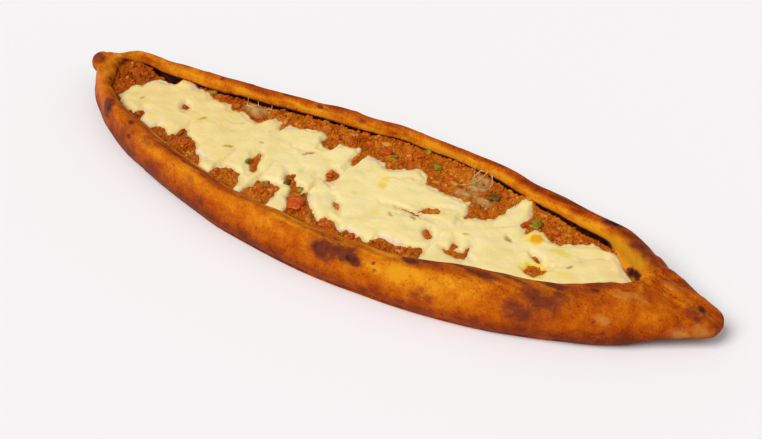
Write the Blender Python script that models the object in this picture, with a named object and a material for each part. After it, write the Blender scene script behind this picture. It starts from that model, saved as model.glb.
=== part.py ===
"""An open, boat-shaped pide: a baked dough boat with a rolled rim, pinched into a knob at one end and a
long nose at the other, filled with minced meat and covered for the most part by melted cheese.

Metres, +Z up. The boat's long axis is X, with the nose at +X. Its fuller side is at -Y and is called the
near side, the other is the far side. The flat underside rests on z = 0."""

import bmesh
import bpy
import numpy as np
from mathutils import Euler, Vector

MM = 0.001

# The dough boat, station by station along X, in millimetres.
# place, near belly, far belly, near rim height, far rim height, near rim width, far rim width, lift
STATIONS = MM * np.array([
    [-226.5, 3.4, 6, 22, 22, 1, 1, 20.4],
    [-224, 2.4, 7.6, 22.6, 22.6, 2.5, 2.5, 18],
    [-221.5, 0.5, 9.5, 23, 23, 4, 4, 14],
    [-219, -4, 13.5, 23.5, 23.5, 8, 8, 9.5],
    [-213, -11.5, 19, 26, 26, 14, 12, 4],
    [-206, -19, 24, 26.5, 26.5, 22, 7, 1.5],
    [-195, -27, 28, 26.5, 26.5, 13, 7.5, 0.4],
    [-178, -37.5, 29.5, 26.5, 26.5, 12.5, 9.5, 0],
    [-150, -50, 32.5, 26, 27, 16.5, 10.5, 0],
    [-100, -64, 39.5, 26, 27, 17, 11, 0],
    [-50, -73, 48.5, 26, 27, 17.5, 11, 0],
    [0, -75.5, 53.5, 26, 27, 18.5, 10, 0],
    [50, -72, 53.5, 26, 27, 20, 10.5, 0],
    [100, -63, 49, 27, 27, 28, 13.5, 0],
    [130, -53.5, 44, 26.5, 27.5, 27.5, 14.5, 0],
    [150, -45, 42, 26, 28, 31.5, 18, 0],
    [165, -38, 37, 25, 27.5, 38, 22, 0],
    [178, -30.5, 31.5, 24, 25, 38, 24, 0.6],
    [190, -21.5, 27, 21.5, 22, 24, 20, 2],
    [206, -9.5, 21, 18.5, 18.5, 15, 15, 4],
    [215, -3.5, 17.5, 16.5, 16.5, 9, 9, 5.5],
    [219.5, 0.5, 14.5, 14, 14, 5, 5, 7],
    [221, 4.5, 11, 12, 12, 2.2, 2.2, 8.8],
])
FLOOR = 5 * MM  # thickness of the dough under the filling
OPEN_FROM = -213 * MM  # the trough starts behind the knob
OPEN_TO = 179 * MM  # and ends where the nose is pinched shut
KNOB_RAMP = 9 * MM  # length over which the trough's floor rises to the rim at the knob
NOSE_RAMP = 13 * MM  # and at the nose
RAMP_GAP = 3 * MM  # the filling ends this far from the foot of either ramp
UNDERCUT = 4.3 * MM  # how far the rolled lip stands out over the trough's wall
WALL_FOOT = 3.5 * MM  # how far that wall's foot runs out past the lip into the floor
CORNER = 14 * MM  # a side thinner than this gets its belly and foot scaled down
CREASE = 1.2 * MM  # depth of the seam where the dough is pinched shut
RIM_WOBBLE = 0.7 * MM

# The knob: a ball of dough that swells out of the blunt end.
KNOB = np.array([-220.0, 4.7, 20.8]) * MM
KNOB_RADIUS = 7.3 * MM

# The folds that run out from the pinch over the nose.
PINCH = np.array([173, 9]) * MM
FOLDS = 9
FOLD_DEPTH = 0.8 * MM
FOLD_FROM, FOLD_TO = 5 * MM, 42 * MM

# The shallow valley between the near rim's outer swell and its folded lip, and where it lies.
VALLEY = 1.7 * MM
VALLEY_FROM, VALLEY_TO = -188 * MM, -20 * MM

STATION_COUNT = 58
CROWDING = 0.75  # how much the stations crowd towards both ends: 0 not at all, 1 as a cosine does
CURVE_STEPS = 2  # points from one control point of a section to the next

# The filling.
GAP = 1.2 * MM  # clear space between the filling's hidden sides and the dough
SKIN_GAP = 0.45 * MM  # clear space between the cheese and what it lies on or leans against
MEAT_LEVEL = 15.2 * MM
MEAT_LUMP = 0.9 * MM
SHOULDER = 3.5 * MM  # the filling falls away under the far lip over this width
SHOULDER_DROP = 6.0 * MM
MEAT_STATIONS = 52
MEAT_ACROSS = 17
CRUMB = 2.3 * MM
CRUMB_PITCH = 8.2 * MM
TROUGH_NEAR, TROUGH_FAR = -68 * MM, 50 * MM  # y from where to where the trough lies, at its widest

# Diced vegetables that show: place, length, width and turn in degrees, in millimetres.
DICE_ROOM = 0.7  # each keeps this share of its diagonal from its middle to the cheese and the dough
SMALLEST_DICE = 0.35  # and shrinks for that, or is left out where it would be smaller than this share
DICE = [
    (-19, -43, 12, 8, 35),
    (-2, -49.5, 7, 5, 10),
    (-33, -33, 6, 4, 60),
    (-45, -33, 5, 4, 20),
    (-4, 26, 6, 4, 15),
    (2, 21, 5, 3, 70),
    (13, 33, 5, 4, 40),
    (36, 27, 7, 4.5, -20),
    (-9, 40, 5, 3.5, 30),
    (-48, 34, 6, 5, 0),
    (-134, 20, 5, 3.5, 25),
    (-122, -36, 5, 4, 50),
]

# The melted cheese. Its far edge as (x, y) points, and its bare spots as centre, half length, half width
# and turn in degrees, all in millimetres.
CHEESE_FROM, CHEESE_TO = -188.5 * MM, 163.5 * MM
FAR_EDGE = MM * np.array([
    (-189, -7), (-184, 2), (-178, 11), (-168, 14.5), (-158, 19), (-147, 19), (-136, 15.5), (-122, 17),
    (-110, 14), (-99, 12), (-91, 15), (-85, 21), (-77, 17.5), (-68, 21), (-57, 24.5), (-47, 23),
    (-38, 19), (-28, 23), (-20, 21), (-15, 18.5), (-5, 21.5), (3, 18.5), (10, 21.5), (18, 27), (24, 26),
    (30, 20), (42, 16), (54, 14.5), (61, 19), (71, 22.5), (79, 22), (85, 32), (91, 33), (98, 29),
    (103, 23), (108, 17), (114, 13.5), (121, 13.5), (130, 18), (140, 21.5), (150, 21), (157, 18), (165, 12),
])
BARE_SPOTS = [
    (-160, -24, 6, 2.6, -44),
    (-137, -35, 12, 4.6, -22),
    (-112, -36, 16, 8.0, -36),
    (-73, -47, 11, 6.5, -15),
    (-48, -46, 10, 6.5, -38),
    (-19, -44, 17, 8.5, -38),
    (-37, -29, 7, 3.8, -55),
    (11, -49, 17, 5.0, -2),
    (46, -42.5, 15, 4.6, 14),
    (-142.5, -1.8, 3.3, 2.2, -44),
    (-68, -24.5, 9.4, 4.0, -68),
    (-42, 15, 4.0, 2.4, -9),
    (-19, 14.5, 6.5, 2.6, -84),
    (67, 9.5, 6.6, 4.6, -88),
    (77, 17, 10, 3.4, 60),
    (-20, -11, 3.2, 2.2, -53),
    (-2.3, -27.5, 4.0, 1.6, -33),
    (56.5, -24, 3.8, 2.9, -55),
    (77, -25, 6.5, 4.4, -52),
    (121, -16, 5.0, 4.2, 89),
]
CHEESE_BOTTOM = 16.4 * MM
CHEESE_TOP = 19.0 * MM
CHEESE_EDGE = 0.9 * MM  # thickness at the cut edge of the solid
CHEESE_ROUND = 6 * MM  # the sheet reaches its full thickness this far from its edge
CHEESE_SWELL = 0.5 * MM
CELL_X, CELL_Y = 5.6 * MM, 4.5 * MM
EDGE_WAVE = 0.9 * MM


def remove_objects():
    """Empties the scene."""
    for obj in list(bpy.data.objects):
        bpy.data.objects.remove(obj, do_unlink=True)


def finish(name, colour, roughness):
    """A Principled BSDF material of one colour."""
    material = bpy.data.materials.new(name)
    material.use_nodes = True
    shader = material.node_tree.nodes["Principled BSDF"]
    shader.inputs["Base Color"].default_value = (*colour, 1)
    shader.inputs["Roughness"].default_value = roughness
    shader.inputs["Metallic"].default_value = 0
    material.diffuse_color = (*colour, 1)
    return material


def mesh_object(name, points, faces, material):
    """A smooth-shaded object at the origin, its faces turned outwards."""
    mesh = bpy.data.meshes.new(name)
    mesh.from_pydata(points.tolist(), [], faces)
    shape = bmesh.new()
    shape.from_mesh(mesh)
    bmesh.ops.recalc_face_normals(shape, faces=shape.faces)
    shape.to_mesh(mesh)
    shape.free()
    mesh.shade_smooth()
    mesh.materials.append(material)
    obj = bpy.data.objects.new(name, mesh)
    bpy.context.scene.collection.objects.link(obj)
    return obj


def smooth_curve(knots, values, x):
    """A curve through the knots that never overshoots them: cubic pieces whose slopes are harmonic means."""
    span = np.diff(knots)
    slope = np.diff(values) / span
    first, second = 2 * span[1:] + span[:-1], span[1:] + 2 * span[:-1]
    same_way = slope[1:] * slope[:-1] > 0
    safe = np.where(same_way, slope[1:], 1), np.where(same_way, slope[:-1], 1)
    tangent = np.zeros(len(values))
    tangent[1:-1] = np.where(same_way, (first + second) / (first / safe[1] + second / safe[0]), 0)
    tangent[0], tangent[-1] = slope[0], slope[-1]
    i = np.clip(np.searchsorted(knots, x) - 1, 0, len(span) - 1)
    t = np.clip((x - knots[i]) / span[i], 0, 1)
    start = values[i] * (1 + 2 * t) * (1 - t) ** 2 + tangent[i] * span[i] * t * (1 - t) ** 2
    end = values[i + 1] * t * t * (3 - 2 * t) + tangent[i + 1] * span[i] * t * t * (t - 1)
    return start + end


def fade(start, end, x):
    """0 at start, 1 at end, with an even S between."""
    t = np.clip((x - start) / (end - start), 0, 1)
    return t * t * (3 - 2 * t)


def waves(x, y, seed, longest, count=4):
    """Seeded ups and downs of about -1 to 1: sines of shrinking length in turned directions, added."""
    draw = np.random.default_rng(seed)
    total, weight = 0 * (x + y), 0
    for i in range(count):
        turn, shift = draw.uniform(0, 2 * np.pi, 2)
        length, share = longest * 0.63**i, 0.78**i
        total = total + share * np.sin(2 * np.pi / length * (x * np.cos(turn) + y * np.sin(turn)) + shift)
        weight += share
    return total / weight * 1.5


def open_share(x):
    """1 where the trough is open, 0 where the dough is closed over."""
    return fade(OPEN_FROM, OPEN_FROM + KNOB_RAMP, x) * fade(OPEN_TO, OPEN_TO - NOSE_RAMP, x)


def boat_sizes(x):
    """The seven sizes of the station table at x, with the unevenness of hand-rolled dough."""
    near, far, near_top, far_top, near_rim, far_rim, lift = (
        smooth_curve(STATIONS[:, 0], STATIONS[:, k], x) for k in range(1, 8)
    )
    inside = open_share(x)
    near_top = near_top + 0.6 * RIM_WOBBLE * waves(x, 0, 11, 0.09) * inside
    far_top = far_top + 0.6 * RIM_WOBBLE * waves(x, 0, 12, 0.08) * inside
    near_rim = near_rim + RIM_WOBBLE * waves(x, 0, 13, 0.07) * inside
    far_rim = far_rim + 1.6 * RIM_WOBBLE * waves(x, 0, 14, 0.06) * inside
    middle = 0.5 * (near + near_rim + far - far_rim)
    near_rim = np.minimum(near_rim, middle - near - 1 * MM)
    far_rim = np.minimum(far_rim, far - middle - 1 * MM)
    return near, far, near_top, far_top, near_rim, far_rim, lift, middle


def side_controls(belly, sign, top, rim, middle, lift, share, valley):
    """Twelve control points of one side, from under the belly over the rim down to the trough's floor.

    Each is an inward distance and a height: shares of the rim's width and of the height above the lift.
    Where the dough is closed, the inner ones move up to a nearly level top."""
    half = np.abs(middle - belly)
    foot = np.minimum(9 * MM, 0.45 * half)
    small = np.minimum(1, half / CORNER)
    tall = top - lift
    rest = half - rim
    outer = [
        (foot, lift),
        (3.2 * MM * small, lift + 2.2 * MM * small),
        (0 * half, lift + 0.36 * tall),
        (1.5 * MM * small, lift + 0.68 * tall),
        (0.30 * rim, lift + 0.93 * tall),
        (0.54 * rim, top),
        (0.84 * rim, lift + tall * (1 - 0.06 * share) - valley),
    ]
    wall = rim - np.minimum(UNDERCUT, 0.45 * rim)
    inner = [
        (rim, lift + 0.83 * tall - 0.2 * valley, 0.05),
        (rim - 0.5 * MM, lift + 0.70 * tall, 0.20),
        (wall, lift + 0.60 * tall, 0.35),
        (wall + 0.3 * MM, FLOOR + 2.8 * MM + 0 * half, 0.50),
        (rim + np.minimum(WALL_FOOT, 0.4 * rest), FLOOR + 0 * half, 0.75),
    ]
    for distance, height, along in inner:
        shut = (rim + rest * along, top - 0.4 * MM * along)
        outer.append((distance * share + shut[0] * (1 - share), height * share + shut[1] * (1 - share)))
    return [(belly - sign * distance, height) for distance, height in outer]


def section_controls(x):
    """The closed loop of 26 control points at each x: near side, middle, far side, middle of the base."""
    near, far, near_top, far_top, near_rim, far_rim, lift, middle = boat_sizes(x)
    share = open_share(x)
    valley = VALLEY * fade(VALLEY_FROM, VALLEY_FROM + 0.03, x) * fade(VALLEY_TO, VALLEY_TO - 0.05, x)
    near_side = side_controls(near, -1, near_top, near_rim, middle, lift, share, valley)
    far_side = side_controls(far, 1, far_top, far_rim, middle, lift, share, 0 * x)
    seam = FLOOR * share + (0.5 * (near_top + far_top) - CREASE) * (1 - share)
    loop = [*near_side, (middle, seam), *far_side[::-1], (0.5 * (near + far), lift)]
    return np.stack([np.stack([y, z], -1) for y, z in loop], 1)


def spline_loops(controls, steps):
    """Catmull-Rom points on closed loops, along axis 1."""
    before, here, after, later = (np.roll(controls, shift, 1)[:, :, None] for shift in (1, 0, -1, -2))
    t = (np.arange(steps) / steps)[None, None, :, None]
    linear = (after - before) * t
    square = (2 * before - 5 * here + 4 * after - later) * t**2
    cube = (3 * here - before - 3 * after + later) * t**3
    return (0.5 * (2 * here + linear + square + cube)).reshape(len(controls), -1, 2)


def surface_normals(grid):
    """Unit normals of a grid whose second direction is a closed loop, pointing out of the boat."""
    along = np.gradient(grid, axis=0)
    around = np.roll(grid, -1, 1) - np.roll(grid, 1, 1)
    normal = np.cross(around, along)
    return normal / np.maximum(np.linalg.norm(normal, axis=-1, keepdims=True), 1e-12)


def fold_height(grid):
    """Ridges that fan out from the pinch: a cosine of the angle round it, fading with distance."""
    offset = grid[..., :2] - PINCH
    reach = np.linalg.norm(offset, axis=-1)
    angle = np.arctan2(offset[..., 1], offset[..., 0])
    ring = fade(0, FOLD_FROM, reach) * fade(FOLD_TO, FOLD_FROM, reach)
    ahead = fade(-20 * MM, 5 * MM, offset[..., 0])
    upper = fade(8 * MM, 14 * MM, grid[..., 2])
    return FOLD_DEPTH * np.cos(FOLDS * angle + 6 * reach / FOLD_TO) * ring * ahead * upper


def swell_knob(grid):
    """Pushes every point that lies inside the knob's ball out to the ball's surface."""
    offset = grid - KNOB
    reach = np.maximum(np.linalg.norm(offset, axis=-1, keepdims=True), 1e-9)
    return KNOB + offset * np.maximum(1, KNOB_RADIUS / reach)


def boat_surface(station_count, steps):
    """The dough's whole surface as a grid: stations along the boat, points round each section."""
    turn = np.linspace(0, np.pi, station_count)
    even = np.linspace(0, 1, station_count)
    place = CROWDING * (0.5 - 0.5 * np.cos(turn)) + (1 - CROWDING) * even
    x = STATIONS[0, 0] + (STATIONS[-1, 0] - STATIONS[0, 0]) * place
    loops = spline_loops(section_controls(x), steps)
    loops[..., 1] = np.maximum(loops[..., 1], 0)
    grid = np.concatenate([np.broadcast_to(x[:, None, None], (*loops.shape[:2], 1)), loops], -1)
    grid = grid + surface_normals(grid) * fold_height(grid)[..., None]
    return swell_knob(grid)


def tube_faces(rings, around):
    """Quads of a tube of closed rings, and fans to one point at each end. The two end points come last."""
    faces = []
    for i in range(rings - 1):
        for j in range(around):
            a, b = i * around + j, i * around + (j + 1) % around
            faces.append((a, b, b + around, a + around))
    first, last = rings * around, rings * around + 1
    for j in range(around):
        faces.append(((j + 1) % around, j, first))
        faces.append(((rings - 1) * around + j, (rings - 1) * around + (j + 1) % around, last))
    return faces


def closed_tube(name, grid, bulge, material):
    """A closed solid from a grid of rings, its ends drawn to a point that stands out by the bulge."""
    ends = [grid[0].mean(0) - (bulge, 0, 0), grid[-1].mean(0) + (bulge, 0, 0)]
    points = np.concatenate([grid.reshape(-1, 3), ends])
    return mesh_object(name, points, tube_faces(*grid.shape[:2]), material)


def dough_boat():
    """The baked dough, one piece."""
    crust = finish("baked dough", (0.56, 0.22, 0.035), 0.6)
    closed_tube("dough_crust", boat_surface(STATION_COUNT, CURVE_STEPS), 0.8 * MM, crust)


def trough_edges(x):
    """Where the inner edges of the near and the far lip are at x."""
    near, far, _, _, near_rim, far_rim, _, _ = boat_sizes(x)
    return near + near_rim, far - far_rim


def bare_distance(x, y):
    """How far, about, the point is outside every bare spot: an ellipse's level times its half width."""
    nearest = np.full(np.broadcast(x, y).shape, 1.0)
    for place_x, place_y, length, width, turn in BARE_SPOTS:
        c, s = np.cos(np.radians(turn)), np.sin(np.radians(turn))
        dx, dy = x - place_x * MM, y - place_y * MM
        along, across = (dx * c + dy * s) / (length * MM), (dy * c - dx * s) / (width * MM)
        level = np.hypot(along, across)
        nearest = np.minimum(nearest, (level - 1) * (width * MM) * 1.2)
    return nearest


def cheese_distance(x, y):
    """How far, about, the point is inside the melted cheese: positive in it, negative outside."""
    near_edge, far_edge = trough_edges(x)
    far_melt = smooth_curve(FAR_EDGE[:, 0], FAR_EDGE[:, 1], x) - y
    wave = EDGE_WAVE * waves(x, y, 21, 0.021)
    inside = np.minimum(0.8 * far_melt + wave, bare_distance(x, y) + wave)
    inside = np.minimum(inside, np.minimum(y - near_edge, far_edge - y) - SKIN_GAP)
    return np.minimum(inside, np.minimum(x - CHEESE_FROM, CHEESE_TO - x))


def meat_height(x, y):
    """The filling's top: a level with lumps, held down under the cheese, falling away to the far wall."""
    near_edge, far_edge = trough_edges(x)
    bare = fade(-0.5 * MM, -3 * MM, cheese_distance(x, y))
    inner = fade(0, 5 * MM, np.minimum(y - near_edge, far_edge - y))
    lump = MEAT_LUMP * waves(x, y, 31, 0.016) * inner
    lump = np.where(lump > 0, lump * bare, lump)
    fall = SHOULDER_DROP * fade(far_edge - 1 * MM, far_edge - 1 * MM + SHOULDER, y)
    sink = 1.5 * MM * fade(near_edge + 2 * MM, near_edge - 3 * MM, y)
    return MEAT_LEVEL + lump - fall - sink


def meat_surface():
    """The filling as rings: its near side, bottom and far side follow the trough, its top the lumps."""
    x = np.linspace(OPEN_FROM + KNOB_RAMP + RAMP_GAP, OPEN_TO - NOSE_RAMP - RAMP_GAP, MEAT_STATIONS)
    trough = section_controls(x)[:, 9:15]
    middle = trough.mean(1, keepdims=True)
    away = middle - trough
    inset = np.sign(away[..., 0]) * np.minimum(GAP, 0.3 * np.abs(away[..., 0]))
    hidden = np.stack([trough[..., 0] + inset, trough[..., 1] + GAP * (trough[..., 1] < 12 * MM)], -1)
    under_top = meat_height(x[:, None], hidden[..., 0]) - 0.5 * MM
    hidden[..., 1] = np.minimum(hidden[..., 1], under_top)
    share = ((np.arange(MEAT_ACROSS) + 0.6) / (MEAT_ACROSS + 0.2)) ** 1.3
    top_y = hidden[:, -1:, 0] + (hidden[:, :1, 0] - hidden[:, -1:, 0]) * share
    top_z = meat_height(x[:, None], top_y)
    lowest = hidden[:, 2:4, 1].max(1, keepdims=True) + 0.6 * MM
    top = np.stack([top_y, np.maximum(top_z, lowest)], -1)
    ring = np.concatenate([hidden, top], 1)
    return np.concatenate([np.broadcast_to(x[:, None, None], (*ring.shape[:2], 1)), ring], -1)


def helper_object(name, points, faces, collection):
    """A small closed solid that is only there to be fused."""
    mesh = bpy.data.meshes.new(name)
    mesh.from_pydata(points, [], faces)
    obj = bpy.data.objects.new(name, mesh)
    collection.objects.link(obj)
    return obj


def unit_ball():
    """Points and faces of a ball of twenty triangles."""
    shape = bmesh.new()
    bmesh.ops.create_icosphere(shape, subdivisions=1, radius=1)
    points = [vert.co.copy() for vert in shape.verts]
    faces = [[vert.index for vert in face.verts] for face in shape.faces]
    shape.free()
    return points, faces


def unit_cube():
    """Points and faces of a cube of half side 1."""
    shape = bmesh.new()
    bmesh.ops.create_cube(shape, size=2)
    points = [vert.co.copy() for vert in shape.verts]
    faces = [[vert.index for vert in face.verts] for face in shape.faces]
    shape.free()
    return points, faces


def placed(points, sizes, turn, centre):
    """The points scaled by the three sizes, turned, and moved to the centre."""
    turned = Euler(turn).to_matrix()
    return [turned @ Vector([c * s for c, s in zip(point, sizes)]) + Vector(centre) for point in points]


def room_at(x, y):
    """How far the place is from the cheese and from both lips."""
    near_edge, far_edge = trough_edges(x)
    return np.minimum(-cheese_distance(x, y), np.minimum(y - near_edge, far_edge - 1.5 * MM - y))


def crumb_places():
    """Places of a jittered grid over the filling that the cheese leaves bare."""
    draw = np.random.default_rng(41)
    along = np.arange(OPEN_FROM + 2 * KNOB_RAMP, OPEN_TO - NOSE_RAMP, CRUMB_PITCH)
    x, y = np.meshgrid(along, np.arange(TROUGH_NEAR, TROUGH_FAR, CRUMB_PITCH))
    x = x + draw.uniform(-0.35, 0.35, x.shape) * CRUMB_PITCH
    y = y + draw.uniform(-0.35, 0.35, y.shape) * CRUMB_PITCH
    keep = room_at(x, y) > CRUMB + 0.8 * MM
    return np.stack([x[keep], y[keep]], -1), draw


def add_crumbs(collection):
    """Crumbles of minced meat, half sunk in the filling."""
    points, faces = unit_ball()
    places, draw = crumb_places()
    for x, y in places:
        sizes = CRUMB * draw.uniform(0.6, 1.0, 3)
        turn = draw.uniform(0, np.pi, 3)
        height = float(meat_height(x, y)) + 0.15 * sizes[2]
        helper_object("crumb", placed(points, sizes, turn, (x, y, height)), faces, collection)


def add_dice(collection):
    """Diced tomato, pepper and onion, lying in the filling where there is room."""
    points, faces = unit_cube()
    for x, y, length, width, turn in DICE:
        centre = (x * MM, y * MM)
        size = min(1, float(room_at(*centre)) / (DICE_ROOM * np.hypot(length, width) * MM))
        if size < SMALLEST_DICE:
            continue
        sizes = (0.5 * length * MM * size, 0.5 * width * MM * size, 1.1 * MM)
        height = float(meat_height(*centre)) + 0.4 * MM
        tilt = (np.radians(6), np.radians(-5), np.radians(turn))
        helper_object("dice", placed(points, sizes, tilt, (*centre, height)), faces, collection)


def fuse(obj, collection):
    """Joins every object of the collection to the object with one Boolean union, then removes them."""
    union = obj.modifiers.new("fused bits", "BOOLEAN")
    union.operation = "UNION"
    union.operand_type = "COLLECTION"
    union.collection = collection
    union.solver = "EXACT"
    graph = bpy.context.evaluated_depsgraph_get()
    fused = bpy.data.meshes.new_from_object(obj.evaluated_get(graph))
    obj.modifiers.clear()
    obj.data = fused
    for bit in list(collection.objects):
        bpy.data.objects.remove(bit, do_unlink=True)
    bpy.data.collections.remove(collection)


def meat_filling():
    """The minced meat, one piece with its crumbles and diced vegetables."""
    browned = finish("minced meat filling", (0.36, 0.09, 0.018), 0.55)
    filling = closed_tube("meat_filling", meat_surface(), 0, browned)
    bits = bpy.data.collections.new("bits")
    bpy.context.scene.collection.children.link(bits)
    add_crumbs(bits)
    add_dice(bits)
    fuse(filling, bits)


def without_corner_touches(mask):
    """Fills cells until no two cells of the mask touch only at a corner."""
    mask = mask.copy()
    for _ in range(len(mask)):
        a, b, c, d = mask[:-1, :-1], mask[1:, :-1], mask[:-1, 1:], mask[1:, 1:]
        rising, falling = a & d & ~b & ~c, b & c & ~a & ~d
        if not (rising | falling).any():
            break
        mask[1:, :-1] |= rising
        mask[:-1, :-1] |= falling
    return mask


def largest_patch(mask):
    """The cells that hang together with the middle one, found by growing it inside the mask."""
    filled = np.argwhere(mask)
    start = filled[len(filled) // 2]
    patch = np.zeros_like(mask)
    patch[tuple(start)] = True
    while True:
        grown = patch.copy()
        grown[1:] |= patch[:-1]
        grown[:-1] |= patch[1:]
        grown[:, 1:] |= patch[:, :-1]
        grown[:, :-1] |= patch[:, 1:]
        grown &= mask
        if (grown == patch).all():
            return patch
        patch = grown


def cheese_cells():
    """Grid points, and which cells between them hold cheese."""
    x = np.arange(CHEESE_FROM - CELL_X, CHEESE_TO + 2 * CELL_X, CELL_X)
    y = np.arange(TROUGH_NEAR, TROUGH_FAR, CELL_Y)
    x, y = (part.T for part in np.meshgrid(x, y))
    in_cell = cheese_distance(x[:-1, :-1] + 0.5 * CELL_X, y[:-1, :-1] + 0.5 * CELL_Y) > 0
    return x, y, largest_patch(without_corner_touches(in_cell))


def pulled_to_edge(x, y, on_edge):
    """Moves the edge's points onto the line where the distance is 0, in a few steps down its slope."""
    small = 0.1 * MM
    for _ in range(6):
        here = cheese_distance(x, y)
        slope_x = (cheese_distance(x + small, y) - cheese_distance(x - small, y)) / (2 * small)
        slope_y = (cheese_distance(x, y + small) - cheese_distance(x, y - small)) / (2 * small)
        steep = np.maximum(slope_x**2 + slope_y**2, 0.3)
        limit = 0.3 * CELL_Y
        x = x - np.where(on_edge, np.clip(here * slope_x / steep, -limit, limit), 0)
        y = y - np.where(on_edge, np.clip(here * slope_y / steep, -limit, limit), 0)
    return x, y


def cheese_thickness(x, y):
    """The sheet's thickness: a quarter round from its edge inwards, then slow swells."""
    depth = np.clip(cheese_distance(x, y) / CHEESE_ROUND, 0, 1)
    full = CHEESE_TOP - CHEESE_BOTTOM + CHEESE_SWELL * waves(x, y, 22, 0.045)
    return CHEESE_EDGE + (full - CHEESE_EDGE) * np.sqrt(1 - (1 - depth) ** 2)


def sheet_faces(mask, numbers, layer):
    """Both faces of every cell of the mask, and a wall along each side that has no neighbour.

    The upper points' numbers are the lower ones' plus the layer."""
    faces, sides = [], set()
    for i, j in np.argwhere(mask):
        corners = (i, j), (i + 1, j), (i + 1, j + 1), (i, j + 1)
        ring = [int(numbers[corner]) for corner in corners]
        faces.append([number + layer for number in ring])
        faces.append(ring[::-1])
        sides.update(zip(ring, ring[1:] + ring[:1]))
    open_sides = sorted(side for side in sides if side[::-1] not in sides)
    return faces + [[a, b, b + layer, a + layer] for a, b in open_sides]


def cheese_sheet():
    """The melted cheese: a closed sheet over the filling, thin at its edge and swelling inwards."""
    x, y, mask = cheese_cells()
    used = np.zeros(x.shape, int)
    for shift_x, shift_y in ((0, 0), (1, 0), (0, 1), (1, 1)):
        used[shift_x : shift_x + mask.shape[0], shift_y : shift_y + mask.shape[1]] += mask
    x, y = pulled_to_edge(x, y, (used > 0) & (used < 4))
    near_edge, far_edge = trough_edges(x)
    y = np.clip(y, near_edge + SKIN_GAP, far_edge - SKIN_GAP)
    keep = used > 0
    numbers = np.cumsum(keep).reshape(keep.shape) - 1
    low = np.stack([x[keep], y[keep], np.full(keep.sum(), CHEESE_BOTTOM)], -1)
    high = low + cheese_thickness(x[keep], y[keep])[:, None] * (0, 0, 1)
    melted = finish("melted cheese", (0.84, 0.69, 0.3), 0.4)
    mesh_object("melted_cheese", np.concatenate([low, high]), sheet_faces(mask, numbers, len(low)), melted)


def stand_on_origin():
    """Moves every piece alike, so that the middle of the bread's box stands over the origin."""
    corners = np.concatenate([[vert.co for vert in obj.data.vertices] for obj in bpy.data.objects])
    middle = 0.5 * (corners.min(0) + corners.max(0))
    for obj in bpy.data.objects:
        obj.location = (-middle[0], -middle[1], 0)


remove_objects()
dough_boat()
meat_filling()
cheese_sheet()
stand_on_origin()
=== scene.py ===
# %% [markdown]
# # A boat-shaped flatbread with minced meat and melted cheese
#
# This notebook dresses a finished, plain model of a filled bread. The plain model is loaded as a fixed
# frame. Around it we build the baked crust, the minced meat with its crumbles and diced vegetables, and the
# melted cheese with its thin skins and strings, each as a mesh worked out with numpy.
#
# Everything is in metres, and MM turns millimetres into metres.

import bmesh
import bpy
import numpy as np
from mathutils import Matrix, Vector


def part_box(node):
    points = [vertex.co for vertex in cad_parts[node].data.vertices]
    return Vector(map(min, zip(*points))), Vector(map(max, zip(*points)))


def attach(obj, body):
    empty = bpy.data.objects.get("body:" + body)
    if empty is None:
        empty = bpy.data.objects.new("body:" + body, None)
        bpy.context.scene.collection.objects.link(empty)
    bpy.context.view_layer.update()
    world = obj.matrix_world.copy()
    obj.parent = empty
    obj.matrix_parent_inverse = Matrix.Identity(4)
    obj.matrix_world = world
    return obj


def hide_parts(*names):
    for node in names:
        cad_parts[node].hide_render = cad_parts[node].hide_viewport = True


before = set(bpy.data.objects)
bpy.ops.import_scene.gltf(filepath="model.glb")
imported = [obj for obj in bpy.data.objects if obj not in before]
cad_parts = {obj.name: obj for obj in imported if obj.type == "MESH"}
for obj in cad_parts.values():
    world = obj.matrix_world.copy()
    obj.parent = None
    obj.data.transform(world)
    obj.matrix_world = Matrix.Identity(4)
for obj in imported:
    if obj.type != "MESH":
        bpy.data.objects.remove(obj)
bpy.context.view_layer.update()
MM = 0.001
print("the plain model holds", sorted(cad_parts))

# %% [markdown]
# ## Numbers that are not quite regular
#
# Nothing on a baked bread is even. Three small fields give every kind of unevenness used below. `waves` adds
# a few long sines and makes slow swells. `clouds` blends random numbers on a lattice and makes soft patches.
# `grains` measures the distance to the nearest of many scattered seeds and makes crumbs, blisters and pits.
# All are seeded, so the bread comes out the same each time.


# %% Fields of unevenness
def fade(start, end, x):
    """0 at start, 1 at end, with an even S between."""
    t = np.clip((x - start) / (end - start), 0, 1)
    return t * t * (3 - 2 * t)


def waves(x, y, seed, longest, count=4):
    """Seeded ups and downs of about -1 to 1: sines of shrinking length in turned directions, added."""
    draw = np.random.default_rng(seed)
    total, weight = 0 * (x + y), 0
    for i in range(count):
        turn, shift = draw.uniform(0, 2 * np.pi, 2)
        length, share = longest * 0.63**i, 0.78**i
        total = total + share * np.sin(2 * np.pi / length * (x * np.cos(turn) + y * np.sin(turn)) + shift)
        weight += share
    return total / weight * 1.5


def drawn(cells, seed, count=1):
    """Numbers from 0 to 1 for whole-numbered cells: what is left behind the point of a large sine."""
    base = cells @ np.array([127.1, 311.7, 74.7]) + 19.19 * seed
    return np.stack([np.abs(np.sin(base + 57.31 * k) * 43758.5453) % 1 for k in range(count)], -1)


def clouds(points, size, seed, octaves=3):
    """Soft patches of about -1 to 1: random corner values of a lattice, blended by an S, in halving sizes."""
    total, weight = 0, 0
    for octave in range(octaves):
        place = points / (size * 0.5**octave)
        cell = np.floor(place)
        t = fade(0, 1, place - cell)
        value = 0
        for corner in np.ndindex(2, 2, 2):
            share = np.prod(np.where(corner, t, 1 - t), -1)
            value = value + share * drawn(cell + corner, seed + octave)[..., 0]
        strength = 0.6**octave
        total = total + strength * (2 * value - 1)
        weight += strength
    return total / weight * 1.6


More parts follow.
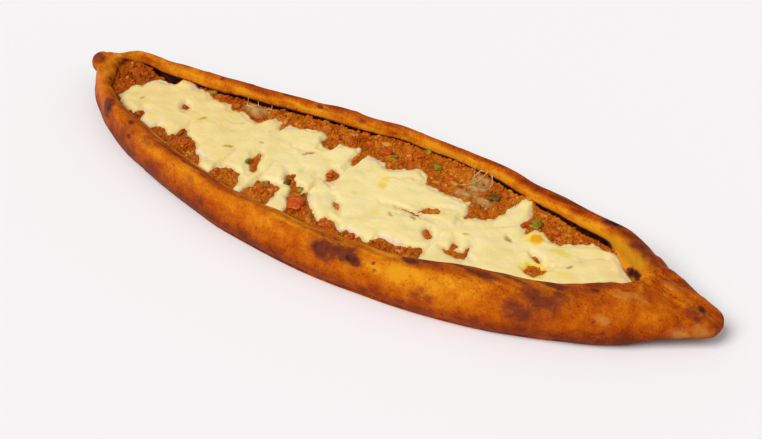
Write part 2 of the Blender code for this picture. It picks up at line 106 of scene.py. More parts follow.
def grains(points, size, seed):
    """The distance to the nearest seed of a jittered lattice, in lattice steps, and that seed's number."""
    place = points / size
    cell = np.floor(place)
    nearest = np.full(place.shape[:-1], 9.0)
    number = np.zeros(place.shape[:-1])
    for step in np.ndindex(3, 3, 3):
        other = cell + step - 1
        draw = drawn(other, seed, 4)
        reach = np.linalg.norm(other + draw[..., :3] - place, axis=-1)
        number = np.where(reach < nearest, draw[..., 3], number)
        nearest = np.minimum(nearest, reach)
    return nearest, number


def flat_points(x, y, stretch=1):
    """Points at height 0. A field read at them comes out longer along x by the stretch."""
    return np.stack([x / stretch, y, 0 * x], -1)


def smooth_curve(knots, values, x):
    """A curve through the knots that never overshoots them: cubic pieces whose slopes are harmonic means."""
    span = np.diff(knots)
    slope = np.diff(values) / span
    first, second = 2 * span[1:] + span[:-1], span[1:] + 2 * span[:-1]
    same_way = slope[1:] * slope[:-1] > 0
    safe = np.where(same_way, slope[1:], 1), np.where(same_way, slope[:-1], 1)
    tangent = np.zeros(len(values))
    tangent[1:-1] = np.where(same_way, (first + second) / (first / safe[1] + second / safe[0]), 0)
    tangent[0], tangent[-1] = slope[0], slope[-1]
    i = np.clip(np.searchsorted(knots, x) - 1, 0, len(span) - 1)
    t = np.clip((x - knots[i]) / span[i], 0, 1)
    start = values[i] * (1 + 2 * t) * (1 - t) ** 2 + tangent[i] * span[i] * t * (1 - t) ** 2
    end = values[i + 1] * t * t * (3 - 2 * t) + tangent[i + 1] * span[i] * t * t * (t - 1)
    return start + end


def curve_of(table, x):
    """The smooth curve through a table of (place, value) pairs, read at x."""
    knots, values = np.array(table, float).T
    return smooth_curve(knots, values, x)


print("clouds at one point:", round(float(clouds(np.array([0.1, 0.2, 0.3]), 0.05, 1)), 3))


# %% [markdown]
# ## From arrays to a mesh
#
# A piece is an array of points and one or more arrays of faces. `foreach_set` hands whole arrays to
# Blender, which is far quicker than adding points one by one. Numbers that vary over the surface, such as
# how brown the crust is, go along as attributes, which the material reads later.


# %% Make a piece from arrays
def piece(name, points, face_arrays, material, slot, **attributes):
    """A smooth-shaded object at the origin, riding on the root, with one float attribute for each name."""
    widths = np.concatenate([np.full(len(faces), faces.shape[1]) for faces in face_arrays])
    corners = np.concatenate([faces.ravel() for faces in face_arrays])
    mesh = bpy.data.meshes.new(name)
    mesh.vertices.add(len(points))
    mesh.vertices.foreach_set("co", np.ascontiguousarray(points, np.float32).ravel())
    mesh.loops.add(len(corners))
    mesh.loops.foreach_set("vertex_index", corners.astype(np.int32))
    mesh.polygons.add(len(widths))
    mesh.polygons.foreach_set("loop_start", (np.cumsum(widths) - widths).astype(np.int32))
    mesh.update(calc_edges=True)
    mesh.validate()
    mesh.shade_smooth()
    for key, values in attributes.items():
        layer = mesh.attributes.new(key, "FLOAT", "POINT")
        layer.data.foreach_set("value", np.ascontiguousarray(values, np.float32).ravel())
    mesh.materials.append(material)
    obj = bpy.data.objects.new(name, mesh)
    bpy.context.scene.collection.objects.link(obj)
    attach(obj, "root")
    triangles = int((widths - 2).sum())
    print(f"{name}: {len(points)} points, {triangles} triangles")
    return obj


def tube_faces(rings, around):
    """Quads between neighbouring closed rings, and a fan of triangles to one last point at each end."""
    i, j = np.meshgrid(np.arange(rings - 1), np.arange(around), indexing="ij")
    here, beside = i * around + j, i * around + (j + 1) % around
    quads = np.stack([here, here + around, beside + around, beside], -1).reshape(-1, 4)
    j = np.arange(around)
    after = (j + 1) % around
    last_ring = (rings - 1) * around
    first = np.stack([j, after, np.full(around, rings * around)], -1)
    last = np.stack([last_ring + after, last_ring + j, np.full(around, rings * around + 1)], -1)
    return [quads, np.concatenate([first, last])]


def tube_points(grid, bulge):
    """The grid's points, then the middle of the first and last ring, moved outwards by the bulge."""
    ends = [grid[0].mean(0) - (bulge, 0, 0), grid[-1].mean(0) + (bulge, 0, 0)]
    return np.concatenate([grid.reshape(-1, 3), ends])


def with_ends(values):
    """Values of a grid's points, and of the two end points: the means of the first and the last ring."""
    return np.concatenate([values.ravel(), [values[0].mean(), values[-1].mean()]])


def joined(parts):
    """The points and face arrays of several parts as one set. Each part has the same kinds of faces."""
    starts = np.cumsum([0] + [len(points) for points, _ in parts])
    kinds = zip(*(face_arrays for _, face_arrays in parts))
    faces = [np.concatenate([array + start for array, start in zip(kind, starts)]) for kind in kinds]
    return np.concatenate([points for points, _ in parts]), faces


# %% [markdown]
# ## Materials as sums
#
# A shader is easier to read as a formula than as a web of nodes. `Wire` stands for one socket. Adding,
# subtracting or multiplying wires and numbers adds the Math nodes behind the scenes. `Finish` is one
# material: its `node` method makes any node from its type, its settings and what goes into its sockets.


# %% A small language for shaders
class Wire:
    """One output socket of a finish. Sums and products of wires and numbers become Math nodes."""

    def __init__(self, finish, socket):
        self.finish = finish
        self.socket = socket

    def maths(self, operation, first, second):
        """The Math node that puts two wires or numbers together."""
        return self.finish.node("ShaderNodeMath", {"operation": operation}, {0: first, 1: second})

    def __add__(self, other):
        return self.maths("ADD", self, other)

    def __radd__(self, other):
        return self.maths("ADD", other, self)

    def __sub__(self, other):
        return self.maths("SUBTRACT", self, other)

    def __rsub__(self, other):
        return self.maths("SUBTRACT", other, self)

    def __mul__(self, other):
        return self.maths("MULTIPLY", self, other)

    def __rmul__(self, other):
        return self.maths("MULTIPLY", other, self)

    def fade(self, start, end):
        """0 where the wire is at start, 1 at end, with an even S between."""
        settings = {"interpolation_type": "SMOOTHSTEP"}
        return self.finish.node("ShaderNodeMapRange", settings, {0: self, 1: start, 2: end})


class Finish:
    """A material with a Principled BSDF, and the means to feed it."""

    def __init__(self, name, **constants):
        self.material = bpy.data.materials.new(name)
        self.material.use_nodes = True
        self.tree = self.material.node_tree
        self.shader = self.tree.nodes["Principled BSDF"]
        for socket, value in constants.items():
            self.shader.inputs[socket.replace("_", " ")].default_value = value

    def node(self, kind, settings, inputs, output=0):
        """Adds a node: settings are set first, then each input gets its number or its wire."""
        made = self.tree.nodes.new(kind)
        for key, value in settings.items():
            if key == "stops":
                self.set_stops(made.color_ramp, value)
            else:
                setattr(made, key, value)
        for key, value in inputs.items():
            if isinstance(value, Wire):
                self.tree.links.new(value.socket, made.inputs[key])
            else:
                made.inputs[key].default_value = value
        return Wire(self, made.outputs[output])

    def set_stops(self, ramp, stops):
        """Gives a colour ramp its (place, colour) stops."""
        while len(ramp.elements) < len(stops):
            ramp.elements.new(1)
        for element, (place, colour) in zip(ramp.elements, stops):
            element.position = place
            element.color = (*colour, 1)

    def place(self):
        """Where a point is on the object, in metres."""
        return self.node("ShaderNodeTexCoord", {}, {}, "Object")

    def painted(self, name):
        """A float attribute of the mesh."""
        return self.node("ShaderNodeAttribute", {"attribute_name": name}, {}, "Fac")

    def noise(self, size, detail=2, roughness=0.5):
        """Soft noise of 0 to 1 whose lumps are about the size, in metres."""
        inputs = {"Vector": self.place(), "Scale": 1 / size, "Detail": detail, "Roughness": roughness}
        return self.node("ShaderNodeTexNoise", {}, inputs)

    def specks(self, size):
        """The distance, in sizes, to the nearest of many scattered specks."""
        return self.node("ShaderNodeTexVoronoi", {}, {"Vector": self.place(), "Scale": 1 / size}, "Distance")

    def ramp(self, value, stops):
        """A colour that runs through the stops as the value goes from 0 to 1."""
        return self.node("ShaderNodeValToRGB", {"stops": stops}, {0: value})

    def blend(self, share, first, second):
        """The first colour where the share is 0, the second where it is 1."""
        share_socket, first_socket, second_socket, colour_output = 0, 6, 7, 2
        first, second = (colour if isinstance(colour, Wire) else (*colour, 1) for colour in (first, second))
        inputs = {share_socket: share, first_socket: first, second_socket: second}
        return self.node("ShaderNodeMix", {"data_type": "RGBA"}, inputs, colour_output)

    def feed(self, socket, wire):
        """Links a wire to the shader."""
        self.tree.links.new(wire.socket, self.shader.inputs[socket])

    def bump(self, height, depth):
        """Feeds the shader's normal with a height of 0 to 1 that stands for a depth in metres."""
        self.feed("Normal", self.node("ShaderNodeBump", {}, {"Height": height, "Distance": depth}))


print("ready to write finishes")


# %% [markdown]
# ## The shape of the dough boat
#
# A baker rolls a long oval of dough, turns its edges up and over the filling and pinches both ends. Cut
# across, the boat is a closed curve: a flat base, a round belly, a rim rolled inwards, a wall that is
# undercut below the rim, and the floor. Cut by cut, those sizes change slowly from one end to the other.
#
# So the surface is a function of two parameters: the place along the boat, and the place round the cut.
# A table gives the sizes of the cut at some stations, smooth curves join them, and a spline rounds the cut's
# 26 control points. The plain model was made by the same rule with fewer points, so the fine crust fits it.

# %% Sizes of the boat
# place, near belly, far belly, near rim height, far rim height, near rim width, far rim width, lift, in mm
STATIONS = MM * np.array([
    [-226.5, 3.4, 6, 22, 22, 1, 1, 20.4],
    [-224, 2.4, 7.6, 22.6, 22.6, 2.5, 2.5, 18],
    [-221.5, 0.5, 9.5, 23, 23, 4, 4, 14],
    [-219, -4, 13.5, 23.5, 23.5, 8, 8, 9.5],
    [-213, -11.5, 19, 26, 26, 14, 12, 4],
    [-206, -19, 24, 26.5, 26.5, 22, 7, 1.5],
    [-195, -27, 28, 26.5, 26.5, 13, 7.5, 0.4],
    [-178, -37.5, 29.5, 26.5, 26.5, 12.5, 9.5, 0],
    [-150, -50, 32.5, 26, 27, 16.5, 10.5, 0],
    [-100, -64, 39.5, 26, 27, 17, 11, 0],
    [-50, -73, 48.5, 26, 27, 17.5, 11, 0],
    [0, -75.5, 53.5, 26, 27, 18.5, 10, 0],
    [50, -72, 53.5, 26, 27, 20, 10.5, 0],
    [100, -63, 49, 27, 27, 28, 13.5, 0],
    [130, -53.5, 44, 26.5, 27.5, 27.5, 14.5, 0],
    [150, -45, 42, 26, 28, 31.5, 18, 0],
    [165, -38, 37, 25, 27.5, 38, 22, 0],
    [178, -30.5, 31.5, 24, 25, 38, 24, 0.6],
    [190, -21.5, 27, 21.5, 22, 24, 20, 2],
    [206, -9.5, 21, 18.5, 18.5, 15, 15, 4],
    [215, -3.5, 17.5, 16.5, 16.5, 9, 9, 5.5],
    [219.5, 0.5, 14.5, 14, 14, 5, 5, 7],
    [221, 4.5, 11, 12, 12, 2.2, 2.2, 8.8],
])
FLOOR = 5 * MM
OPEN_FROM, OPEN_TO = -213 * MM, 179 * MM
KNOB_RAMP, NOSE_RAMP = 9 * MM, 13 * MM
UNDERCUT = 4.3 * MM
SLUMP = 4.2 * MM  # how far the far wall leans in under the lip, instead, at the nose
SLUMP_FROM, SLUMP_TO = 142 * MM, 152 * MM
WALL_FOOT = 3.5 * MM
CORNER = 14 * MM
CREASE = 1.2 * MM
TOP_WOBBLE, NEAR_RIM_WOBBLE, FAR_RIM_WOBBLE = 0.42 * MM, 0.7 * MM, 1.12 * MM
RIM_STOP = 1 * MM  # both rims end at least this far from the middle between them
# balls of dough that swell out of the blunt end: x, y, z and radius, in mm
KNOBS = [(-220, 4.7, 20.8, 7.3), (-217.2, 7.6, 20.7, 6.8), (-214.5, 10.5, 19.8, 6.3), (-214, 8.5, 20.8, 6.2)]
PINCH = np.array([173, 9]) * MM
FOLDS = 9
FOLD_DEPTH = 0.7 * MM
FOLD_FROM, FOLD_TO = 9 * MM, 42 * MM
VALLEY = 1.7 * MM
VALLEY_FROM, VALLEY_TO = -188 * MM, -20 * MM
VALLEY_RAMP_IN, VALLEY_RAMP_OUT = 30 * MM, 50 * MM
CROWDING = 0.75
END_BULGE = 0.8 * MM
PLAIN_STATIONS, PLAIN_STEPS = 58, 2
FINE_STATIONS, FINE_STEPS = 400, 9


# %% The boat's surface
def open_share(x):
    """1 where the trough is open, 0 where the dough is closed over."""
    return fade(OPEN_FROM, OPEN_FROM + KNOB_RAMP, x) * fade(OPEN_TO, OPEN_TO - NOSE_RAMP, x)


def boat_sizes(x):
    """The table's seven sizes at x, with the unevenness of hand-rolled dough, and the trough's middle."""
    near, far, near_top, far_top, near_rim, far_rim, lift = (
        smooth_curve(STATIONS[:, 0], STATIONS[:, k], x) for k in range(1, 8)
    )
    inside = open_share(x)
    near_top = near_top + TOP_WOBBLE * waves(x, 0, 11, 90 * MM) * inside
    far_top = far_top + TOP_WOBBLE * waves(x, 0, 12, 80 * MM) * inside
    near_rim = near_rim + NEAR_RIM_WOBBLE * waves(x, 0, 13, 70 * MM) * inside
    far_rim = far_rim + FAR_RIM_WOBBLE * waves(x, 0, 14, 60 * MM) * inside
    middle = 0.5 * (near + near_rim + far - far_rim)
    near_rim = np.minimum(near_rim, middle - near - RIM_STOP)
    far_rim = np.minimum(far_rim, far - middle - RIM_STOP)
    return near, far, near_top, far_top, near_rim, far_rim, lift, middle


def side_controls(belly, sign, top, rim, middle, lift, share, valley, slump):
    """Twelve control points of one side, from under the belly over the rim down to the trough's floor.

    Each is an inward distance and a height: shares of the rim's width and of the height above the lift.
    Where the dough is closed, the inner ones move up to a nearly level top. The wall is undercut, and where
    it slumps it leans in instead."""
    half = np.abs(middle - belly)
    foot = np.minimum(9 * MM, 0.45 * half)
    small = np.minimum(1, half / CORNER)
    tall = top - lift
    rest = half - rim
    outer = [
        (foot, lift),
        (3.2 * MM * small, lift + 2.2 * MM * small),
        (0 * half, lift + 0.36 * tall),
        (1.5 * MM * small, lift + 0.68 * tall),
        (0.30 * rim, lift + 0.93 * tall),
        (0.54 * rim, top),
        (0.84 * rim, lift + tall * (1 - 0.06 * share) - valley),
    ]
    wall = (rim - np.minimum(UNDERCUT, 0.45 * rim)) * (1 - slump) + (rim + SLUMP) * slump
    foot_out = np.minimum(WALL_FOOT + 2 * MM * slump, 0.4 * rest)
    inner = [
        (rim, lift + 0.83 * tall - 0.2 * valley, 0.05),
        (rim - 0.5 * MM + 0.5 * SLUMP * slump, lift + 0.70 * tall, 0.20),
        (wall, lift + 0.60 * tall, 0.35),
        (wall + 0.3 * MM, FLOOR + 2.8 * MM + 0 * half, 0.50),
        (rim + foot_out, FLOOR + 0 * half, 0.75),
    ]
    for distance, height, along in inner:
        shut = (rim + rest * along, top - 0.4 * MM * along)
        outer.append((distance * share + shut[0] * (1 - share), height * share + shut[1] * (1 - share)))
    return [(belly - sign * distance, height) for distance, height in outer]


def section_controls(x):
    """The closed loop of 26 control points at each x: near side, middle, far side, middle of the base."""
    near, far, near_top, far_top, near_rim, far_rim, lift, middle = boat_sizes(x)
    share = open_share(x)
    valley = VALLEY * fade(VALLEY_FROM, VALLEY_FROM + VALLEY_RAMP_IN, x)
    valley = valley * fade(VALLEY_TO, VALLEY_TO - VALLEY_RAMP_OUT, x)
    slump = fade(SLUMP_FROM, SLUMP_TO, x)
    near_side = side_controls(near, -1, near_top, near_rim, middle, lift, share, valley, 0 * x)
    far_side = side_controls(far, 1, far_top, far_rim, middle, lift, share, 0 * x, slump)
    seam = FLOOR * share + (0.5 * (near_top + far_top) - CREASE) * (1 - share)
    loop = [*near_side, (middle, seam), *far_side[::-1], (0.5 * (near + far), lift)]
    return np.stack([np.stack([y, z], -1) for y, z in loop], 1)


def spline_loops(controls, steps):
    """Catmull-Rom points on closed loops, along axis 1."""
    before, here, after, later = (np.roll(controls, shift, 1)[:, :, None] for shift in (1, 0, -1, -2))
    t = (np.arange(steps) / steps)[None, None, :, None]
    linear = (after - before) * t
    square = (2 * before - 5 * here + 4 * after - later) * t**2
    cube = (3 * here - before - 3 * after + later) * t**3
    return (0.5 * (2 * here + linear + square + cube)).reshape(len(controls), -1, 2)


def inward_normals(grid):
    """Unit normals of a grid whose second direction is a closed loop, pointing into the dough."""
    along = np.gradient(grid, axis=0)
    around = np.roll(grid, -1, 1) - np.roll(grid, 1, 1)
    normal = np.cross(around, along)
    return normal / np.maximum(np.linalg.norm(normal, axis=-1, keepdims=True), 1e-12)


def round_pinch(grid):
    """Each point's distance and angle from the pinch, seen from above, and how far ahead of it it lies."""
    offset = grid[..., :2] - PINCH
    return np.linalg.norm(offset, axis=-1), np.arctan2(offset[..., 1], offset[..., 0]), offset[..., 0]


def fold_height(grid):
    """Ridges that fan out from the pinch: a cosine of the angle round it, fading with distance."""
    reach, angle, forward = round_pinch(grid)
    ring = fade(0, FOLD_FROM, reach) * fade(FOLD_TO, FOLD_FROM, reach)
    ahead = fade(-20 * MM, 5 * MM, forward)
    upper = fade(8 * MM, 14 * MM, grid[..., 2])
    return FOLD_DEPTH * np.cos(FOLDS * angle + 6 * reach / FOLD_TO) * ring * ahead * upper


def swell_knobs(grid):
    """Pushes every point that lies inside one of the knob's balls out to the ball's surface."""
    for x, y, z, radius in KNOBS:
        middle = np.array([x, y, z]) * MM
        offset = grid - middle
        reach = np.maximum(np.linalg.norm(offset, axis=-1, keepdims=True), 1e-9)
        grid = middle + offset * np.maximum(1, radius * MM / reach)
    return grid


def boat_surface(station_count, steps):
    """The dough's whole surface as a grid: stations along the boat, points round each section."""
    turn = np.linspace(0, np.pi, station_count)
    even = np.linspace(0, 1, station_count)
    place = CROWDING * (0.5 - 0.5 * np.cos(turn)) + (1 - CROWDING) * even
    x = STATIONS[0, 0] + (STATIONS[-1, 0] - STATIONS[0, 0]) * place
    loops = spline_loops(section_controls(x), steps)
    loops[..., 1] = np.maximum(loops[..., 1], 0)
    grid = np.concatenate([np.broadcast_to(x[:, None, None], (*loops.shape[:2], 1)), loops], -1)
    grid = grid + inward_normals(grid) * fold_height(grid)[..., None]
    return swell_knobs(grid)


def shift_to_frame():
    """How far the frame's bread lies from this table's: between the middles of the two boxes."""
    plain = tube_points(boat_surface(PLAIN_STATIONS, PLAIN_STEPS), END_BULGE)
    low, high = (np.array(corner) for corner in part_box("dough_crust"))
    shift = 0.5 * (low + high) - 0.5 * (plain.min(0) + plain.max(0))
    print("sizes differ from the frame's by", ((high - low - np.ptp(plain, axis=0)) / MM).round(2), "mm")
    return np.array([shift[0], shift[1], 0])


SHIFT = shift_to_frame()
bare_boat = boat_surface(FINE_STATIONS, FINE_STEPS)
print("shift in mm:", (SHIFT / MM).round(2), "fine grid:", bare_boat.shape)

# %% [markdown]
# ## Relief of the crust
#
# The dough is dented by fingers, blistered by steam and wrinkled where it is pinched. Each is a small height
# along the surface's normal: slow swells, scattered blisters of a few millimetres, fine wrinkles that fan
# out over the nose, and shallow rolls along the rim where the edge was turned over.

# %% Blisters, dents and wrinkles
SWELL, SWELL_SIZE = 0.45 * MM, 22 * MM
BLISTER, BLISTER_SIZE = 0.35 * MM, 7 * MM
BLISTER_REACH = 0.55  # how far a blister's dome reaches from its seed, in blister sizes
CREASES = 15
CREASE_DEPTH = 0.35 * MM
CREASE_FROM, CREASE_TO = 4 * MM, 50 * MM
ROLL_DEPTH, ROLL_SIZE = 0.25 * MM, 3.2 * MM
ROLL_STRETCH = 9  # how many times as long as wide a roll is
ROUND_STEPS = 26  # the numbering round a section: 0 near foot, 5 near crown, 12 middle, 19 far crown


def round_numbers():
    """The number round the section of each column of the fine grid."""
    return np.arange(FINE_STEPS * ROUND_STEPS) / FINE_STEPS


def nose_creases(grid):
    """Soft grooves, 0 to 1, that run out from the pinch, bent and broken up by clouds."""
    reach, angle, forward = round_pinch(grid)
    angle = angle + 0.2 * clouds(grid, 14 * MM, 55, 2)
    ring = fade(0, CREASE_FROM, reach) * fade(CREASE_TO, 0.2 * CREASE_TO, reach)
    upper = fade(9 * MM, 15 * MM, grid[..., 2])
    broken = fade(-0.6, 0.4, clouds(grid, 10 * MM, 56, 1))
    ahead = fade(-30 * MM, -8 * MM, forward)
    return fade(-0.8, 1, np.cos(CREASES * angle)) * ring * upper * broken * ahead


def crust_relief(grid, around):
    """Height over the smooth dough: swells, blisters where a seed's number is high, creases and rolls."""
    swells = SWELL * clouds(grid, SWELL_SIZE, 51, 2)
    reach, number = grains(grid, BLISTER_SIZE, 52)
    domes = BLISTER * np.clip(1 - (reach / BLISTER_REACH) ** 2, 0, 1) ** 1.5 * fade(0.55, 0.9, number)
    wrinkles = -CREASE_DEPTH * nose_creases(grid)
    on_rim = fade(4, 5, around) * fade(8, 6.5, around) + fade(17, 18, around) * fade(21, 19.5, around)
    rolls = ROLL_DEPTH * clouds(grid / (ROLL_STRETCH, 1, 1), ROLL_SIZE, 54, 2) * on_rim
    standing = fade(0, 1.5 * MM, grid[..., 2])
    return (swells + domes + wrinkles + rolls) * standing


around = np.broadcast_to(round_numbers(), bare_boat.shape[:2])
relief = crust_relief(bare_boat, around)
crust_grid = bare_boat - inward_normals(bare_boat) * relief[..., None]
crust_grid[..., 2] = np.maximum(crust_grid[..., 2], 0)
print("relief from", (relief.min() / MM).round(2), "to", (relief.max() / MM).round(2), "mm")

# %% [markdown]
# ## Where the oven browned the crust
#
# A crust is darkest where it stands up to the heat and palest where it was folded under or shaded. The tone
# runs from 0, golden, over orange brown to 1, red brown. It is read from curves along the boat, one for the
# belly, one for the lip and so on, and blended round the section. Low on the belly, under it and at the tip
# of the nose the curves also carry painted shade. On top come single spots that are scorched, pale or
# golden, each an ellipsoid with a place and two radii. Some of the dark spots, and the walls under the lips,
# are painted shade.

# %% Tones along and round the boat
# (place along the boat in mm, tone)
# Low on the belly and under it the crust is darker, partly baked so on the oven floor and partly painted
# shade; the ridge, crown and lip curves rise towards the tip of the nose as painted shade too.
UNDER_TONES = [(-227, 0.95), (-150, 1.0), (-60, 0.95), (20, 0.8), (120, 0.78), (180, 0.95), (222, 0.8)]
BELLY_TONES = [(-227, 0.45), (-200, 0.55), (-150, 0.7), (-110, 0.62), (-66, 0.5), (-36, 0.44), (-8, 0.58),
               (20, 0.56), (52, 0.34), (85, 0.3), (112, 0.46), (150, 0.54), (186, 0.6), (222, 0.6)]
RIDGE_TONES = [(-227, 0.3), (-200, 0.28), (-178, 0.4), (-152, 0.38), (-110, 0.32), (-66, 0.22), (-36, 0.24),
               (-8, 0.42), (20, 0.38), (52, 0.02), (85, 0.16), (112, 0.4), (150, 0.44), (190, 0.42),
               (212, 0.66), (222, 0.66)]
CROWN_TONES = [(-227, 0.4), (-200, 0.2), (-175, 0.4), (-150, 0.5), (-118, 0.6), (-83, 0.56), (-60, 0.38),
               (-35, 0.26), (-12, 0.2), (12, 0.4), (30, 0.42), (48, 0.08), (62, 0.4), (76, 0.68), (92, 0.6),
               (112, 0.5), (120, 0.46), (135, 0.62), (152, 0.62), (172, 0.46), (198, 0.5), (212, 0.72),
               (222, 0.72)]
LIP_TONES = [(-227, 0.3), (-205, 0.2), (-150, 0.34), (-128, 0.26), (-100, 0.26), (-60, 0.2), (0, 0.24),
             (48, 0.24), (65, 0.8), (95, 0.92), (115, 0.85), (150, 0.7), (178, 0.52), (192, 0.44),
             (222, 0.62)]
FAR_LIP_TONES = [(-227, 0.4), (-200, 0.24), (-150, 0.2), (-60, 0.16), (40, 0.12), (100, 0.04), (140, 0.0),
                 (165, 0.04), (180, 0.4), (200, 0.52), (222, 0.6)]
FAR_CROWN_TONES = [(-227, 0.45), (-205, 0.3), (-150, 0.46), (-92, 0.62), (-40, 0.64), (40, 0.74), (100, 0.74),
                   (140, 0.78), (165, 0.75), (190, 0.66), (222, 0.56)]
# which curve rules where round the section: number round the section, and the curve's own
TONE_PLACES = [(0, UNDER_TONES), (1.7, UNDER_TONES), (2.9, BELLY_TONES), (3.7, RIDGE_TONES),
               (4.2, RIDGE_TONES), (5.0, CROWN_TONES), (5.9, CROWN_TONES), (6.6, LIP_TONES), (12, LIP_TONES),
               (13, FAR_LIP_TONES), (17.4, FAR_LIP_TONES), (18.7, FAR_CROWN_TONES), (20.5, FAR_CROWN_TONES),
               (22.2, BELLY_TONES), (24, UNDER_TONES), (26, UNDER_TONES)]


def oven_tone(grid, around):
    """The blend, round the section, of the two curves that lie next to each point."""
    x = grid[:, 0, 0] / MM
    rows = np.stack([curve_of(table, x) for _, table in TONE_PLACES], 1)
    knots = np.array([number for number, _ in TONE_PLACES])
    numbers = around[0]
    i = np.clip(np.searchsorted(knots, numbers, side="right") - 1, 0, len(knots) - 2)
    share = fade(0, 1, (numbers - knots[i]) / (knots[i + 1] - knots[i]))
    return rows[:, i] * (1 - share) + rows[:, i + 1] * share


# %% Scorched and pale spots
# place (x, y, z), half length along the boat, half width across it, strength; all lengths in mm
SCORCH_AND_SHADE_SPOTS = [
    (17, -70, 22.2, 10, 6.4, 0.74), (30, -67.5, 23.6, 13, 6.5, 0.66), (36, -68.5, 22.8, 7, 3.6, 0.86),
    (20, -63.5, 25.8, 12, 3.2, 0.42), (67, -55, 26, 9, 3.4, 0.68), (64, -54, 25.2, 7, 2.6, 0.6),
    (104, -43, 26.7, 11, 4.2, 0.62), (96, -43.5, 25.6, 5, 2.5, 0.6), (138, -42, 24.5, 14, 8.5, 0.6),
    (129, -50, 19.4, 16, 7.5, 0.6), (147, -34, 25.4, 11, 5, 0.5), (159, -19, 24.9, 2.6, 1.8, 0.8),
    (156, -22, 25, 6, 3, 0.35), (-178, -35.5, 22.4, 8, 7, 0.9),
    (-220.5, 1.5, 26.5, 7, 5.4, 0.52), (-150, -45, 24, 16, 7, 0.28), (-126, -51, 25.6, 16, 4.4, 0.34),
    (-199, -10, 22.7, 3.2, 1.6, 0.85), (-150, -42.7, 26.3, 3, 2, 0.75),
    (-148, -48.5, 19.9, 3, 2.2, 0.75), (-145, -47.3, 23.7, 5, 2.6, 0.45), (-97, -54.7, 25.8, 3.4, 1.4, 1.0),
    (-120, -59, 12, 12, 6, 0.5), (-88, -64, 20.4, 9, 6, 0.3), (-72, -69.5, 14.3, 5, 3, 0.6),
    (49, -66, 24.1, 1.4, 1.2, 0.75), (51, -68, 21.3, 1.4, 1.2, 0.7), (80, -67, 16.2, 9, 6, 0.36),
    (209, 7, 17.7, 3.2, 3.2, 0.95), (209, 4, 17.6, 10, 6, 0.46), (210, -1, 17.4, 2.6, 2.2, 0.6),
    (-135, 27, 26.8, 2.4, 1.8, 0.6), (-101, 30, 25.7, 2.6, 1.8, 0.4), (-64, 38, 25.7, 4, 2, 0.62),
    (-49, 40, 26.2, 2.2, 1.4, 0.5), (-34, 41, 25, 5, 2.4, 0.5), (-4, 45, 25, 2.4, 1.6, 0.5),
    (141, 35, 27.7, 8, 3.4, 0.95), (162, 26, 28, 6, 4, 0.62), (170, 23, 26.5, 5, 3.5, 0.6),
    # The spots at (165, 13.2, 17.8), (168.5, 11.6, 19) and (172, 9.4, 20.3) are painted shade: the dark hole
    # at the end of the trough by the nose. The spots at (-150, -50, 9) and (-115, -62, 9) darken the low near
    # belly.
    (176, 19, 25.4, 7, 3.5, 0.4), (165, 13.2, 17.8, 4.4, 3.4, 1.0), (168.5, 11.6, 19, 4.8, 3.2, 1.0),
    (172, 9.4, 20.3, 4, 2.6, 1.0), (-150, -50, 9, 26, 8, 0.5), (-115, -62, 9, 26, 7, 0.42),
    (74, -50, 25.3, 12, 3.4, 0.68), (96, -43.5, 25.9, 15, 3.4, 0.62),
    (118, -36, 26.1, 16, 3.4, 0.62), (140, -27, 25.3, 14, 5, 0.6), (158, -10, 23, 10, 3.4, 0.5),
    (166, -34, 18.3, 1.5, 1.3, 0.75), (172, -34, 12.8, 1.8, 1.5, 0.7), (186, 12, 23.4, 3.5, 1.2, 0.55),
    (181, -2, 24, 4, 1.2, 0.4), (-60, 46, 20, 16, 5, 0.4), (60, 50, 22, 20, 4, 0.4),
    (-20, 30, 0, 60, 20, 0.4),
]
PALE = [
    (170, -31, 19.2, 5, 2.4, 0.3), (171, -13, 24.1, 5, 3, 0.2), (190, 10, 22.6, 8, 1.8, 0.2),
    (180, -9, 24, 7, 2, 0.16), (207, -10, 10.8, 13, 3.4, 0.3), (214, -3, 12, 12, 4.4, 0.26),
]
# the slumped wall at the nose, which the rim shaded
GOLDEN = [(147, 25.5, 21, 15, 5.4, 0.9), (155, 22.5, 22.8, 14, 5.6, 0.9), (163, 17.5, 23.4, 11, 4.8, 0.9),
          (170, 13, 24, 8, 3.4, 0.75)]


SPOT_RAGGED, SPOT_RAGGED_SIZE = 0.42, 7 * MM
STREAK_SIZE = 2.6 * MM
STREAK_STRETCH = 11


def spot_field(grid, spots, seed):
    """The strongest spot at each point: its strength inside an ellipsoid with a ragged edge, 0 outside."""
    ragged = SPOT_RAGGED * clouds(grid, SPOT_RAGGED_SIZE, seed, 4)
    field = np.zeros(grid.shape[:2])
    for x, y, z, length, width, strength in spots:
        offset = grid - np.array([x, y, z]) * MM
        along = offset[..., 0] / (length * MM)
        across = np.hypot(offset[..., 1], offset[..., 2]) / (width * MM)
        level = np.hypot(along, across) + ragged
        field = np.maximum(field, strength * fade(1.5, 0.2, level))
    return field


def streaks(grid, seed):
    """Long thin patches that run along the rim."""
    return clouds(grid / (STREAK_STRETCH, 1, 1), STREAK_SIZE, seed, 2)


def rim_share(around):
    """1 on both rims' tops, 0 on the bellies."""
    return fade(4.2, 5, around) * fade(8, 7, around) + fade(16.5, 17.5, around) * fade(21.5, 20.5, around)


def under_lip_juice_and_shade(grid, around):
    """1 on the walls that the lips hang over: dark from juice and heat, and painted shade; not at the nose.
    """
    near_wall = fade(8.2, 9, around) * fade(12, 11, around)
    far_wall = fade(12, 13, around) * fade(16.8, 16, around)
    return (near_wall + far_wall * fade(150 * MM, 142 * MM, grid[..., 0])) * open_share(grid[..., 0])


CREASE_SHADE, CLOUD_TONE, STREAK_TONE = 0.1, 0.22, 0.25
# how dark the walls under the lips are painted: the dark of juice and heat, and painted shade
UNDER_LIP_JUICE_AND_SHADE = 0.85
